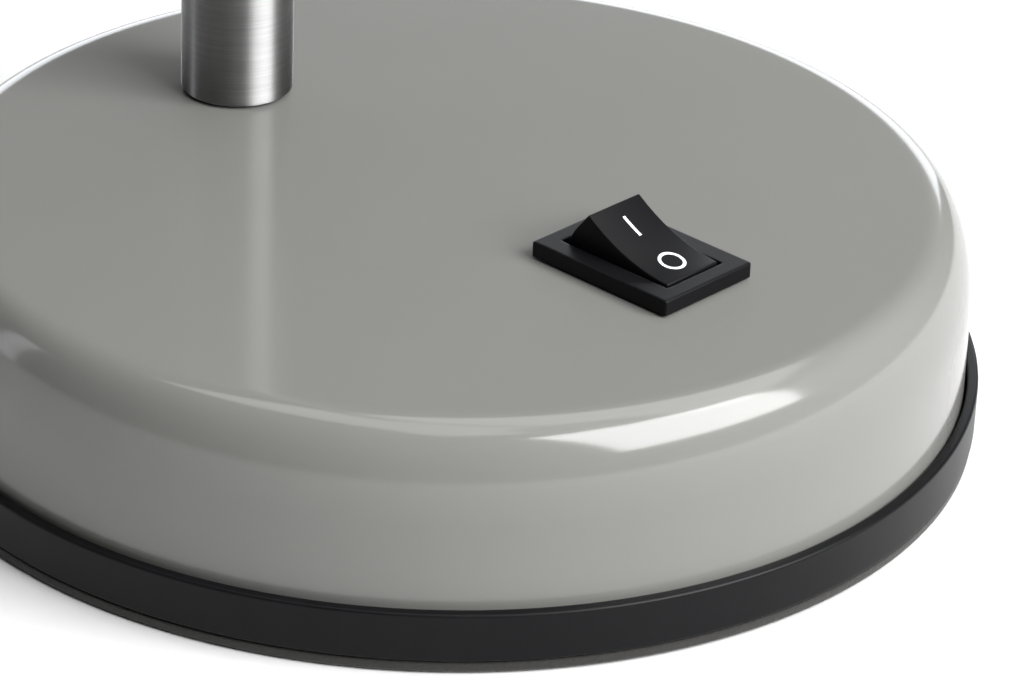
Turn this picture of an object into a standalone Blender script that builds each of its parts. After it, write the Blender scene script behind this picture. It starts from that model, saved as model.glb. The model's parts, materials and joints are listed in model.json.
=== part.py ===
"""Swing arm desk lamp: a round weighted base with a rocker switch, a steel stem that carries
a swivelling and tilting arm, and a bell shade on a tilting head.

Metres, +Z up. The origin is the middle of the foot pad's underside, the front is -Y and the
stem stands at the back, on +Y. The rest pose has the arm raised forward and the shade facing down.
"""
import math

import bmesh
import bpy
from mathutils import Matrix, Vector

# ---- clearances -----------------------------------------------------------------------------
SEAT_GAP = 0.0003          # between pieces that rest on each other
RUN_GAP = 0.00025          # around a shaft, side for side of a turning piece
HOLE_GAP = 0.0004          # around a fixed piece in its hole

# ---- base -----------------------------------------------------------------------------------
RIM_OVERHANG = 0.00165     # from the cover's foot out to the black tray's rim
RING_HEIGHT = 0.0065       # rim's top above the desk
PAD_THICKNESS = 0.0012
PAD_INSET = 0.0002         # pad's edge inside the rim's
TRAY_FLOOR = 0.0024
COVER_RADIUS = 0.06475     # outer radius of the cover at the tray
COVER_TAPER = 0.00015      # how much the wall leans in up to the shoulder
COVER_WALL = 0.001
BASE_HEIGHT = 0.0286       # flat top above the desk
SHOULDER_WIDTH = 0.0046    # horizontal half-axis of the shoulder's quarter ellipse
SHOULDER_HEIGHT = 0.0114   # vertical half-axis of it
BALLAST_THICKNESS = 0.0125
BALLAST_EDGE_GAP = 0.0065  # from the ballast to the cover's wall
BALLAST_HUB_RADIUS = 0.0115
POCKET_GAP = 0.0045         # around the switch and the stem's washer, for the leads
STUD_RADIUS = 0.0025
NUT_RADIUS = 0.0046        # across the corners of the centre nut
NUT_HEIGHT = 0.0028
TRAY_BOSS_RADIUS = 0.0095
TRAY_BOSS_RISE = 0.0036
SCREW_CIRCLE = 0.042
SCREW_ANGLES = (30, 150, 210, 330)
SCREW_SHANK_RADIUS = 0.0018
SCREW_HEAD_RADIUS = 0.0036
SCREW_HEAD_HEIGHT = 0.0011
SCREW_LENGTH = 0.010

# ---- cable inlet in the back wall --------------------------------------------------------------
INLET_HEIGHT = 0.0131
INLET_BORE = 0.0032
GROMMET_NECK = 0.0047
GROMMET_FLANGE = 0.0062
GROMMET_FLANGE_THICKNESS = 0.0015

# ---- rocker switch -----------------------------------------------------------------------------
SWITCH_Y = -0.0322
BEZEL_LENGTH = 0.021
BEZEL_WIDTH = 0.015
BEZEL_THICKNESS = 0.0019
BEZEL_LIP = 0.0011          # bezel beyond the housing, each way
HOUSING_DEPTH = 0.0135
HOUSING_FLOOR = 0.0015
HOUSING_END_WALL = 0.0015   # from the housing's end in to the paddle
HOUSING_SIDE_WALL = 0.0020
PADDLE_GAP = 0.00035
ROCK_HALF_ANGLE = 19.0     # tilt of the paddle to each side of level, degrees
PADDLE_RISE = 0.0050       # paddle's end above its pivot when level
PADDLE_DISH = 0.00095      # depth of the dished top at the middle
PADDLE_SKIRT = 0.0015      # paddle's underside below its pivot
PIVOT_DEPTH = 0.00245      # rocker's pivot below the bezel's top
PLUNGER_RADIUS = 0.0011
PLUNGER_LENGTH = 0.00435
BLADE_LENGTH = 0.0115
BLADE_WIDTH = 0.0036
BLADE_THICKNESS = 0.0005
BLADE_RATIO = -0.4         # contact blade's turn for each turn of the paddle
TERMINAL_WIDTH = 0.0048
TERMINAL_THICKNESS = 0.0008
TERMINAL_LENGTH = 0.0075
TERMINAL_SPACING = 0.0096

# ---- stem --------------------------------------------------------------------------------------
STEM_Y = 0.036
STEM_RADIUS = 0.007
STEM_WALL = 0.001
STEM_TOP = 0.320
PLUG_LENGTH = 0.012
NIPPLE_RADIUS = 0.004
NIPPLE_BORE = 0.0027
NIPPLE_DROP = 0.0076       # nipple's end below the flat top
STEM_WASHER_RADIUS = 0.009
STEM_WASHER_THICKNESS = 0.0015
STEM_NUT_RADIUS = 0.0075
STEM_NUT_HEIGHT = 0.004
BUSH_LENGTH = 0.014
BUSH_FLANGE = 0.0016
SPIGOT_RADIUS = 0.0042
SPIGOT_BORE = 0.0025

# ---- knuckles ----------------------------------------------------------------------------------
EYE_RADIUS = 0.0080
EYE_THICKNESS = 0.0070
WASHER_RADIUS = 0.0062
WASHER_THICKNESS = 0.0008
CHEEK_THICKNESS = 0.0032
BOLT_RADIUS = 0.0021
BOLT_HEAD_RADIUS = 0.0044
BOLT_HEAD_HEIGHT = 0.0022
KNOB_RADIUS = 0.0082
KNOB_LENGTH = 0.0095
KNOB_LOBES = 8
KNOB_LOBE_DEPTH = 0.0011
FORK_CLEARANCE = 0.0015    # from an eye's rim to its fork's root
FORK_FOOT = 0.0075         # solid foot of the swivel fork
FORK_RIM = 0.0015          # fork's round end beyond the eye

# ---- arm and head ------------------------------------------------------------------------------
ARM_LENGTH = 0.205         # from pivot to pivot
ARM_RISE = 20.0            # arm above level at rest, degrees
ARM_RADIUS = 0.0055
ARM_WALL = 0.0009
SOCKET_LENGTH = 0.012      # of an arm fitting's spigot inside the tube
NECK_RADIUS = 0.0170
NECK_LENGTH = 0.030
DOME_HEIGHT = 0.068
MOUTH_RADIUS = 0.062
SHADE_WALL = 0.0008
LIP_RADIUS = 0.0011
CAP_THICKNESS = 0.003
TONGUE_DROP = 0.0180       # head pivot to the neck cap's top
HEAD_NIPPLE_LENGTH = 0.013
SHADE_NUT_HEIGHT = 0.003
HOLDER_RADIUS = 0.0125
HOLDER_LENGTH = 0.029
HOLDER_RING_RADIUS = 0.0158
HOLDER_RING_HEIGHT = 0.0045
BULB_CAP_RADIUS = 0.0069
BULB_CAP_LENGTH = 0.019
BULB_RADIUS = 0.0225
BULB_LENGTH = 0.054        # glass below its cap
BULB_WALL = 0.0009
BULB_NECK_RADIUS = 0.0078
WIRE_RADIUS = 0.0009

# ---- places worked out from the sizes above ------------------------------------------------------
RING_RADIUS = COVER_RADIUS + RIM_OVERHANG
HOUSING_LENGTH = BEZEL_LENGTH - 2 * BEZEL_LIP
HOUSING_WIDTH = BEZEL_WIDTH - 2 * BEZEL_LIP
PADDLE_LENGTH = HOUSING_LENGTH - 2 * HOUSING_END_WALL
PADDLE_WIDTH = HOUSING_WIDTH - 2 * HOUSING_SIDE_WALL
FORK_RADIUS = EYE_RADIUS + FORK_RIM
TRAY_BOTTOM = PAD_THICKNESS + SEAT_GAP
TRAY_TOP = TRAY_BOTTOM + TRAY_FLOOR
COVER_BOTTOM = TRAY_TOP + SEAT_GAP
COVER_INSIDE = COVER_RADIUS - COVER_WALL
COVER_CEILING = BASE_HEIGHT - COVER_WALL
BALLAST_BOTTOM = TRAY_TOP + SEAT_GAP
BALLAST_TOP = BALLAST_BOTTOM + BALLAST_THICKNESS
BALLAST_RADIUS = COVER_INSIDE - BALLAST_EDGE_GAP
BEZEL_BOTTOM = BASE_HEIGHT + SEAT_GAP
BEZEL_TOP = BEZEL_BOTTOM + BEZEL_THICKNESS
PADDLE_PIVOT_Z = BEZEL_TOP - PIVOT_DEPTH
HOUSING_BOTTOM = BEZEL_TOP - HOUSING_DEPTH
STEM_BOTTOM = BASE_HEIGHT + SEAT_GAP
BORE_OF_STEM = STEM_RADIUS - STEM_WALL
SWIVEL_Z = STEM_TOP + SEAT_GAP + BUSH_FLANGE + RUN_GAP
ARM_PIVOT_Z = SWIVEL_Z + FORK_FOOT + FORK_CLEARANCE + EYE_RADIUS
CHEEK_INNER = EYE_THICKNESS / 2 + WASHER_THICKNESS + 2 * RUN_GAP
CHEEK_OUTER = CHEEK_INNER + CHEEK_THICKNESS
TUBE_START = FORK_RADIUS + 0.0035
TUBE_END = ARM_LENGTH - TUBE_START
HOLDER_TOP = -(TONGUE_DROP + CAP_THICKNESS + HEAD_NIPPLE_LENGTH)


# ---- helpers -------------------------------------------------------------------------------------
def clear_scene():
    """Removes every object that the new file starts with."""
    for item in list(bpy.data.objects):
        bpy.data.objects.remove(item, do_unlink=True)


def material(name, colour, roughness, metallic=0.0):
    """A Principled material of one colour."""
    made = bpy.data.materials.new(name)
    made.use_nodes = True
    shader = made.node_tree.nodes["Principled BSDF"]
    shader.inputs["Base Color"].default_value = (*colour, 1.0)
    shader.inputs["Roughness"].default_value = roughness
    shader.inputs["Metallic"].default_value = metallic
    return made


def place(name, data, finish, parent=None, location=(0, 0, 0), rotation=(0, 0, 0)):
    """Links a mesh or curve into the scene as one named piece."""
    piece = bpy.data.objects.new(name, data)
    bpy.context.collection.objects.link(piece)
    piece.parent = parent
    piece.location = location
    piece.rotation_euler = rotation
    if finish is not None:
        data.materials.append(finish)
    return piece


def axis_empty(name, location, rotation=(0, 0, 0), parent=None):
    """An empty on a joint's axis, which the pieces that turn there hang from."""
    empty = bpy.data.objects.new(name, None)
    bpy.context.collection.objects.link(empty)
    empty.parent = parent
    empty.location = location
    empty.rotation_euler = rotation
    return empty


def finish_mesh(mesh_name, bm, smooth=True):
    """Turns a bmesh into a mesh with its faces pointing out and its flanks smooth."""
    bmesh.ops.remove_doubles(bm, verts=bm.verts, dist=1e-6)
    bmesh.ops.recalc_face_normals(bm, faces=bm.faces)
    mesh = bpy.data.meshes.new(mesh_name)
    bm.to_mesh(mesh)
    bm.free()
    if smooth:
        mesh.shade_smooth()
        mesh.set_sharp_from_angle(angle=math.radians(35))
    return mesh


def turned_mesh(name, outline, steps=32):
    """A solid of revolution about Z from a closed outline of (radius, height) points."""
    bm = bmesh.new()
    verts = [bm.verts.new((radius, 0.0, height)) for radius, height in outline]
    count = len(verts)
    edges = [bm.edges.new((verts[i], verts[(i + 1) % count])) for i in range(count)
             if outline[i][0] > 0 or outline[(i + 1) % count][0] > 0]
    bmesh.ops.spin(bm, geom=verts + edges, cent=(0, 0, 0), axis=(0, 0, 1),
                   angle=math.tau, steps=steps, use_merge=True)
    return finish_mesh(name, bm)


def nut_mesh(name, corner_radius, bore, low, high):
    """A hexagonal nut about Z with a round bore."""
    bm = bmesh.new()
    steps = 24
    rings = []
    for radius, height, six_sided in ((bore, low, False), (corner_radius, low, True),
                                      (corner_radius, high, True), (bore, high, False)):
        ring = []
        for i in range(steps):
            angle = math.tau * i / steps
            lean = angle % (math.pi / 3) - math.pi / 6
            reach = radius * math.cos(math.pi / 6) / math.cos(lean) if six_sided else radius
            ring.append(bm.verts.new((reach * math.cos(angle), reach * math.sin(angle), height)))
        rings.append(ring)
    for near, far in zip(rings, rings[1:] + rings[:1]):
        for i in range(steps):
            bm.faces.new((near[i], near[(i + 1) % steps], far[(i + 1) % steps], far[i]))
    return finish_mesh(name, bm)


def box_mesh(name, size, centre=(0, 0, 0), edge=0.0, edge_steps=2):
    """A box, with rounded edges where edge is not zero."""
    bm = bmesh.new()
    bmesh.ops.create_cube(bm, size=1.0)
    bmesh.ops.scale(bm, vec=size, verts=bm.verts)
    bmesh.ops.translate(bm, vec=centre, verts=bm.verts)
    if edge > 0:
        bmesh.ops.bevel(bm, geom=list(bm.edges), offset=edge, segments=edge_steps,
                        profile=0.5, affect="EDGES")
    return finish_mesh(name, bm)


def prism_mesh(name, outline, low, high):
    """A prism along X, between low and high, from a closed outline of (y, z) points."""
    bm = bmesh.new()
    base = bm.faces.new([bm.verts.new((low, y, z)) for y, z in outline])
    grown = bmesh.ops.extrude_face_region(bm, geom=[base])
    top = [item for item in grown["geom"] if isinstance(item, bmesh.types.BMVert)]
    bmesh.ops.translate(bm, vec=(high - low, 0, 0), verts=top)
    return finish_mesh(name, bm)


def cutter(name, mesh, parent=None, location=(0, 0, 0), rotation=(0, 0, 0)):
    """A hidden guide that a Boolean uses."""
    guide = place(name, mesh, None, parent, location, rotation)
    guide.hide_render = True
    guide.display_type = "WIRE"
    return guide


def boolean(piece, guide, operation="DIFFERENCE"):
    """Adds one Boolean to a piece."""
    change = piece.modifiers.new(f"{operation.lower()}_{guide.name}", "BOOLEAN")
    change.operation = operation
    change.solver = "EXACT"
    change.object = guide


def rod_outline(radius, low, high, chamfer=0.0):
    """The closed outline of a solid rod, chamfered at both ends."""
    if not chamfer:
        return [(0, low), (radius, low), (radius, high), (0, high)]
    return [(0, low), (radius - chamfer, low), (radius, low + chamfer),
            (radius, high - chamfer), (radius - chamfer, high), (0, high)]


def tube_outline(outer, inner, low, high):
    """The closed outline of a plain ring or tube."""
    return [(inner, low), (outer, low), (outer, high), (inner, high)]


def arc(centre, radii, start, end, steps):
    """Points along an ellipse's arc, in degrees, both ends included."""
    angles = [math.radians(start + (end - start) * i / steps) for i in range(steps + 1)]
    return [(round(centre[0] + radii[0] * math.cos(a), 9), round(centre[1] + radii[1] * math.sin(a), 9))
            for a in angles]


def wire(name, route, finish):
    """A round lead along a smooth curve through the route's points."""
    knots = [Vector(point) for point in route]
    padded = [knots[0], *knots, knots[-1]]
    points = []
    for i in range(1, len(padded) - 2):
        for step in range(3):
            points.append(smooth_point(padded[i - 1:i + 3], step / 3))
    points.append(knots[-1])
    curve = bpy.data.curves.new(name, "CURVE")
    curve.dimensions = "3D"
    curve.bevel_depth = WIRE_RADIUS
    curve.bevel_resolution = 2
    curve.use_fill_caps = True
    spline = curve.splines.new("POLY")
    spline.points.add(len(points) - 1)
    for point, place_of in zip(spline.points, points):
        point.co = (*place_of, 1.0)
    return place(name, curve, finish)


def smooth_point(four, t):
    """A point at t between the middle two of four knots. Each end leaves along its neighbours' chord."""
    a, b, c, d = four
    span = (c - b).length
    leave = (c - a).normalized() * span
    arrive = (d - b).normalized() * span
    return (b * (2 * t ** 3 - 3 * t ** 2 + 1) + leave * (t ** 3 - 2 * t ** 2 + t)
            + c * (3 * t ** 2 - 2 * t ** 3) + arrive * (t ** 3 - t ** 2))


# ---- base ------------------------------------------------------------------------------------------
def base_cover(finish):
    """The pressed shell: wall, quarter-ellipse shoulder and flat top, open below."""
    shoulder_z = BASE_HEIGHT - SHOULDER_HEIGHT
    wall_top = COVER_RADIUS - COVER_TAPER
    outer = arc((wall_top - SHOULDER_WIDTH, shoulder_z), (SHOULDER_WIDTH, SHOULDER_HEIGHT), 0, 90, 7)
    inner = arc((wall_top - SHOULDER_WIDTH, shoulder_z),
                (SHOULDER_WIDTH - COVER_WALL, SHOULDER_HEIGHT - COVER_WALL), 90, 0, 4)
    outline = [(COVER_RADIUS, COVER_BOTTOM), *outer, (0, BASE_HEIGHT), (0, COVER_CEILING), *inner,
               (COVER_INSIDE, COVER_BOTTOM)]
    shell = place("base_cover", turned_mesh("base_cover", outline, 56), finish)
    nipple_hole = turned_mesh("nipple_hole", rod_outline(NIPPLE_RADIUS + HOLE_GAP,
                                                         COVER_CEILING - 0.004, BASE_HEIGHT + 0.004), 24)
    boolean(shell, cutter("nipple_hole", nipple_hole, location=(0, STEM_Y, 0)))
    switch_hole = box_mesh("switch_hole", (HOUSING_WIDTH + 2 * HOLE_GAP, HOUSING_LENGTH + 2 * HOLE_GAP,
                                           0.01))
    boolean(shell, cutter("switch_hole", switch_hole, location=(0, SWITCH_Y, BASE_HEIGHT)))
    inlet_hole = turned_mesh("inlet_hole", rod_outline(GROMMET_NECK + HOLE_GAP, -0.006, 0.006), 24)
    boolean(shell, cutter("inlet_hole", inlet_hole, location=(0, COVER_RADIUS, INLET_HEIGHT),
                          rotation=(math.pi / 2, 0, 0)))


def base_tray(finish):
    """The black tray: rim around the cover's foot, floor, and a raised boss for the centre nut."""
    rim_inside = COVER_RADIUS + SEAT_GAP
    rim_edge = 0.0004
    boss_top = TRAY_TOP + TRAY_BOSS_RISE
    outline = [
        (STUD_RADIUS + HOLE_GAP, boss_top),
        (STUD_RADIUS + HOLE_GAP, boss_top - TRAY_FLOOR),
        (TRAY_BOSS_RADIUS - TRAY_FLOOR, boss_top - TRAY_FLOOR),
        (TRAY_BOSS_RADIUS - TRAY_FLOOR, TRAY_BOTTOM),
        (RING_RADIUS, TRAY_BOTTOM),
        (RING_RADIUS, RING_HEIGHT - rim_edge),
        (RING_RADIUS - rim_edge, RING_HEIGHT),
        (rim_inside, RING_HEIGHT),
        (rim_inside, TRAY_TOP),
        (TRAY_BOSS_RADIUS, TRAY_TOP),
        (TRAY_BOSS_RADIUS, boss_top),
    ]
    tray = place("base_tray", turned_mesh("base_tray", outline, 56), finish)
    for i, angle in enumerate(SCREW_ANGLES, start=1):
        seat = turned_mesh(f"screw_seat_{i}", [
            (0, TRAY_BOTTOM - 0.002),
            (SCREW_HEAD_RADIUS + HOLE_GAP, TRAY_BOTTOM - 0.002),
            (SCREW_HEAD_RADIUS + HOLE_GAP, TRAY_BOTTOM + SCREW_HEAD_HEIGHT + SEAT_GAP),
            (SCREW_SHANK_RADIUS + HOLE_GAP, TRAY_BOTTOM + SCREW_HEAD_HEIGHT + SEAT_GAP),
            (SCREW_SHANK_RADIUS + HOLE_GAP, TRAY_TOP + 0.002),
            (0, TRAY_TOP + 0.002),
        ], 16)
        boolean(tray, cutter(f"screw_seat_{i}", seat, location=on_circle(SCREW_CIRCLE, angle)))


def on_circle(radius, degrees, z=0.0):
    """A place at an angle around the base's axis."""
    return radius * math.cos(math.radians(degrees)), radius * math.sin(math.radians(degrees)), z


def foot_pad(finish):
    """The soft disc that the lamp stands on."""
    outline = rod_outline(RING_RADIUS - PAD_INSET, 0.0, PAD_THICKNESS)
    place("foot_pad", turned_mesh("foot_pad", outline, 56), finish)


def ballast(finish):
    """The cast disc, open at the middle, around the switch, under the stem and at its screws."""
    outline = tube_outline(BALLAST_RADIUS, BALLAST_HUB_RADIUS, BALLAST_BOTTOM, BALLAST_TOP)
    disc = place("ballast", turned_mesh("ballast", outline, 40), finish)
    middle = (BALLAST_BOTTOM + BALLAST_TOP) / 2
    pocket_height = BALLAST_THICKNESS + 0.004
    pocket = box_mesh("switch_pocket", (HOUSING_WIDTH + 2 * POCKET_GAP, HOUSING_LENGTH + 2 * POCKET_GAP,
                                        pocket_height))
    boolean(disc, cutter("switch_pocket", pocket, location=(0, SWITCH_Y, middle)))
    well_radius = STEM_WASHER_RADIUS + POCKET_GAP / 2
    well = turned_mesh("stem_well", rod_outline(well_radius, -pocket_height / 2, pocket_height / 2), 24)
    boolean(disc, cutter("stem_well", well, location=(0, STEM_Y, middle)))
    for i, angle in enumerate(SCREW_ANGLES, start=1):
        hole = turned_mesh(f"screw_hole_{i}", rod_outline(
            SCREW_SHANK_RADIUS + HOLE_GAP, BALLAST_BOTTOM - 0.002, BALLAST_BOTTOM + SCREW_LENGTH), 12)
        boolean(disc, cutter(f"screw_hole_{i}", hole, location=on_circle(SCREW_CIRCLE, angle)))


def tray_screws(finish):
    """Four flat-headed screws from the tray up into the ballast."""
    head_low = TRAY_BOTTOM + SEAT_GAP / 2
    head_top = head_low + SCREW_HEAD_HEIGHT
    outline = [(0, head_low), (SCREW_HEAD_RADIUS, head_low), (SCREW_HEAD_RADIUS, head_top),
               (SCREW_SHANK_RADIUS, head_top), (SCREW_SHANK_RADIUS, head_low + SCREW_LENGTH),
               (0, head_low + SCREW_LENGTH)]
    mesh = turned_mesh("tray_screw", outline, 12)
    mesh.materials.append(finish)
    for i, angle in enumerate(SCREW_ANGLES, start=1):
        place(f"tray_screw_{i}", mesh, None, location=on_circle(SCREW_CIRCLE, angle))


def centre_fixing(finish):
    """The stud under the cover's top and the nut that draws the tray up against the cover."""
    seat = TRAY_TOP + TRAY_BOSS_RISE - TRAY_FLOOR - SEAT_GAP
    low = TRAY_BOTTOM + SEAT_GAP
    stud = rod_outline(STUD_RADIUS, low, COVER_CEILING - SEAT_GAP)
    place("centre_stud", turned_mesh("centre_stud", stud, 16), finish)
    height = min(NUT_HEIGHT, seat - low)
    nut = nut_mesh("centre_nut", NUT_RADIUS, STUD_RADIUS + RUN_GAP, seat - height, seat)
    place("centre_nut", nut, finish)


def cable_grommet(finish):
    """The lead's inlet in the back wall: a neck between two flanges, with a clear bore."""
    reach = COVER_RADIUS + SEAT_GAP
    sag = COVER_INSIDE - math.sqrt(COVER_INSIDE ** 2 - GROMMET_FLANGE ** 2)
    inside = COVER_INSIDE - sag - COVER_TAPER - SEAT_GAP
    outline = [
        (INLET_BORE, inside - GROMMET_FLANGE_THICKNESS),
        (GROMMET_FLANGE, inside - GROMMET_FLANGE_THICKNESS),
        (GROMMET_FLANGE, inside),
        (GROMMET_NECK, inside),
        (GROMMET_NECK, reach),
        (GROMMET_FLANGE, reach),
        (GROMMET_FLANGE - 0.0005, reach + GROMMET_FLANGE_THICKNESS),
        (INLET_BORE, reach + GROMMET_FLANGE_THICKNESS),
    ]
    place("cable_grommet", turned_mesh("cable_grommet", outline, 16), finish,
          location=(0, 0, INLET_HEIGHT), rotation=(-math.pi / 2, 0, 0))


# ---- switch -----------------------------------------------------------------------------------------
def switch_housing(finish):
    """The bezel and the open tub below it, one moulding, slotted for its two terminals."""
    bezel = box_mesh("switch_housing", (BEZEL_WIDTH, BEZEL_LENGTH, BEZEL_THICKNESS),
                     (0, 0, BEZEL_BOTTOM + BEZEL_THICKNESS / 2))
    housing = place("switch_housing", bezel, finish, location=(0, SWITCH_Y, 0))
    tub_top = BEZEL_BOTTOM + BEZEL_THICKNESS / 2
    tub = box_mesh("switch_tub", (HOUSING_WIDTH, HOUSING_LENGTH, tub_top - HOUSING_BOTTOM),
                   (0, 0, (tub_top + HOUSING_BOTTOM) / 2))
    boolean(housing, cutter("switch_tub", tub, location=(0, SWITCH_Y, 0)), "UNION")
    well_low = HOUSING_BOTTOM + HOUSING_FLOOR
    well = box_mesh("switch_well", (PADDLE_WIDTH + 2 * PADDLE_GAP, PADDLE_LENGTH + 2 * PADDLE_GAP,
                                    BEZEL_TOP + 0.004 - well_low), (0, 0, (BEZEL_TOP + 0.004 + well_low) / 2))
    boolean(housing, cutter("switch_well", well, location=(0, SWITCH_Y, 0)))
    for i, side in enumerate((-1, 1), start=1):
        slot = box_mesh(f"terminal_slot_{i}", (TERMINAL_WIDTH + 2 * HOLE_GAP,
                                               TERMINAL_THICKNESS + 2 * HOLE_GAP, 0.006))
        spot = (0, SWITCH_Y + side * TERMINAL_SPACING / 2, HOUSING_BOTTOM)
        boolean(housing, cutter(f"terminal_slot_{i}", slot, location=spot))


def switch_terminals(finish):
    """Two blades through the housing's floor."""
    top = HOUSING_BOTTOM + HOUSING_FLOOR
    for i, side in enumerate((-1, 1), start=1):
        size = (TERMINAL_WIDTH, TERMINAL_THICKNESS, TERMINAL_LENGTH + HOUSING_FLOOR)
        blade = box_mesh(f"switch_terminal_{i}", size, (0, 0, top - size[2] / 2))
        place(f"switch_terminal_{i}", blade, finish,
              location=(0, SWITCH_Y + side * TERMINAL_SPACING / 2, 0))


def switch_rocker(finish, metal):
    """The dished paddle on its pivot, with the plunger under it, tipped to the off side."""
    tilt = math.radians(ROCK_HALF_ANGLE)
    axis = axis_empty("rocker_axis", (0, SWITCH_Y, PADDLE_PIVOT_Z), (tilt, 0, 0))
    reach = PADDLE_LENGTH / 2
    half = (reach - PADDLE_RISE * math.sin(tilt)) / math.cos(tilt)
    dish = [(half * (1 - i / 6), PADDLE_RISE - PADDLE_DISH * (1 - (1 - i / 6) ** 2)) for i in range(13)]
    turns = [tilt * (1 - i / 3) for i in range(5)]
    end = [(reach * math.cos(a), reach * math.sin(a)) for a in turns]
    foot = [(0.8 * reach, -PADDLE_SKIRT)]
    near = [(-y, z) for y, z in end + foot]
    outline = [*dish, *near, *reversed(foot), *reversed(end)]
    paddle = prism_mesh("switch_rocker", outline, -PADDLE_WIDTH / 2, PADDLE_WIDTH / 2)
    place("switch_rocker", paddle, finish, axis)
    top = -PADDLE_SKIRT - SEAT_GAP
    pin = rod_outline(PLUNGER_RADIUS, top - PLUNGER_LENGTH, top, 0.0004)
    place("rocker_plunger", turned_mesh("rocker_plunger", pin, 12), metal, axis)


def contact_blade(finish):
    """The see-saw contact under the plunger, tipped the other way."""
    reach = PADDLE_SKIRT + SEAT_GAP + PLUNGER_LENGTH
    z = PADDLE_PIVOT_Z - reach - BLADE_THICKNESS / 2 - SEAT_GAP
    tilt = math.radians(ROCK_HALF_ANGLE * BLADE_RATIO)
    axis = axis_empty("blade_axis", (0, SWITCH_Y, z), (tilt, 0, 0))
    blade = box_mesh("contact_blade", (BLADE_WIDTH, BLADE_LENGTH, BLADE_THICKNESS))
    place("contact_blade", blade, finish, axis)


# ---- wiring held inside the base and the stem ---------------------------------------------------------
def inner_wiring(plastic, live, neutral):
    """A connector block on the ballast and the leads from it and from the switch up the stem."""
    block_size = Vector((0.018, 0.010, 0.008))
    block_at = Vector((-0.024, 0.012, BALLAST_TOP + SEAT_GAP + block_size.z / 2))
    block = box_mesh("connector_block", block_size, edge=0.0008, edge_steps=1)
    place("connector_block", block, plastic, location=block_at)
    deck = BALLAST_TOP + 2 * WIRE_RADIUS + SEAT_GAP
    block_end = block_at.x + block_size.x / 2 + WIRE_RADIUS + SEAT_GAP
    nipple_low = BASE_HEIGHT - NIPPLE_DROP
    stem_high = STEM_TOP - BUSH_LENGTH - 0.03
    offset = WIRE_RADIUS + SEAT_GAP
    blade_z = HOUSING_BOTTOM - TERMINAL_LENGTH / 2
    blade_reach = TERMINAL_SPACING / 2 + TERMINAL_THICKNESS / 2 + WIRE_RADIUS + SEAT_GAP
    gap_reach = HOUSING_LENGTH / 2 + POCKET_GAP / 2
    rise = [(STEM_Y - 0.009, deck), (STEM_Y - 0.001, nipple_low - 0.0016), (STEM_Y, nipple_low + 0.001),
            (STEM_Y, BASE_HEIGHT + 0.01), (STEM_Y, stem_high)]
    wire("live_lead", [(0.001, SWITCH_Y + blade_reach, blade_z),
                       (0.001, SWITCH_Y + gap_reach - 0.001, blade_z),
                       (0.002, SWITCH_Y + gap_reach, BALLAST_TOP - 0.001),
                       (0.004, SWITCH_Y + gap_reach + 0.0005, deck),
                       (0.008, SWITCH_Y + gap_reach + POCKET_GAP, deck + 0.0008),
                       (0.014, SWITCH_Y + gap_reach + 0.012, deck), (0.013, 0.014, deck),
                       *[(offset + spread, *spot) for spread, spot in zip((0.004, 0, 0, 0, 0), rise)]], live)
    wire("neutral_lead", [(block_end, block_at.y + 0.002, deck + 0.002),
                          (block_end + 0.004, block_at.y + 0.003, deck + 0.001),
                          *[(-offset - spread, *spot) for spread, spot in zip((0.004, 0, 0, 0, 0), rise)]],
         neutral)
    side_x = -(HOUSING_WIDTH / 2 + POCKET_GAP / 2)
    wire("jumper_lead", [(-0.001, SWITCH_Y - blade_reach, blade_z),
                         (-0.003, SWITCH_Y - blade_reach - 0.0005, blade_z),
                         (side_x, SWITCH_Y - blade_reach + 0.001, BALLAST_TOP - 0.003),
                         (side_x, SWITCH_Y - 0.001, deck),
                         (side_x - POCKET_GAP / 2, SWITCH_Y + 0.005, deck + 0.0008),
                         (side_x - 0.010, SWITCH_Y + 0.016, deck),
                         (block_end + 0.003, block_at.y - 0.008, deck + 0.001),
                         (block_end + 0.002, block_at.y - 0.003, deck + 0.002),
                         (block_end, block_at.y - 0.002, deck + 0.002)], live)


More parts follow.
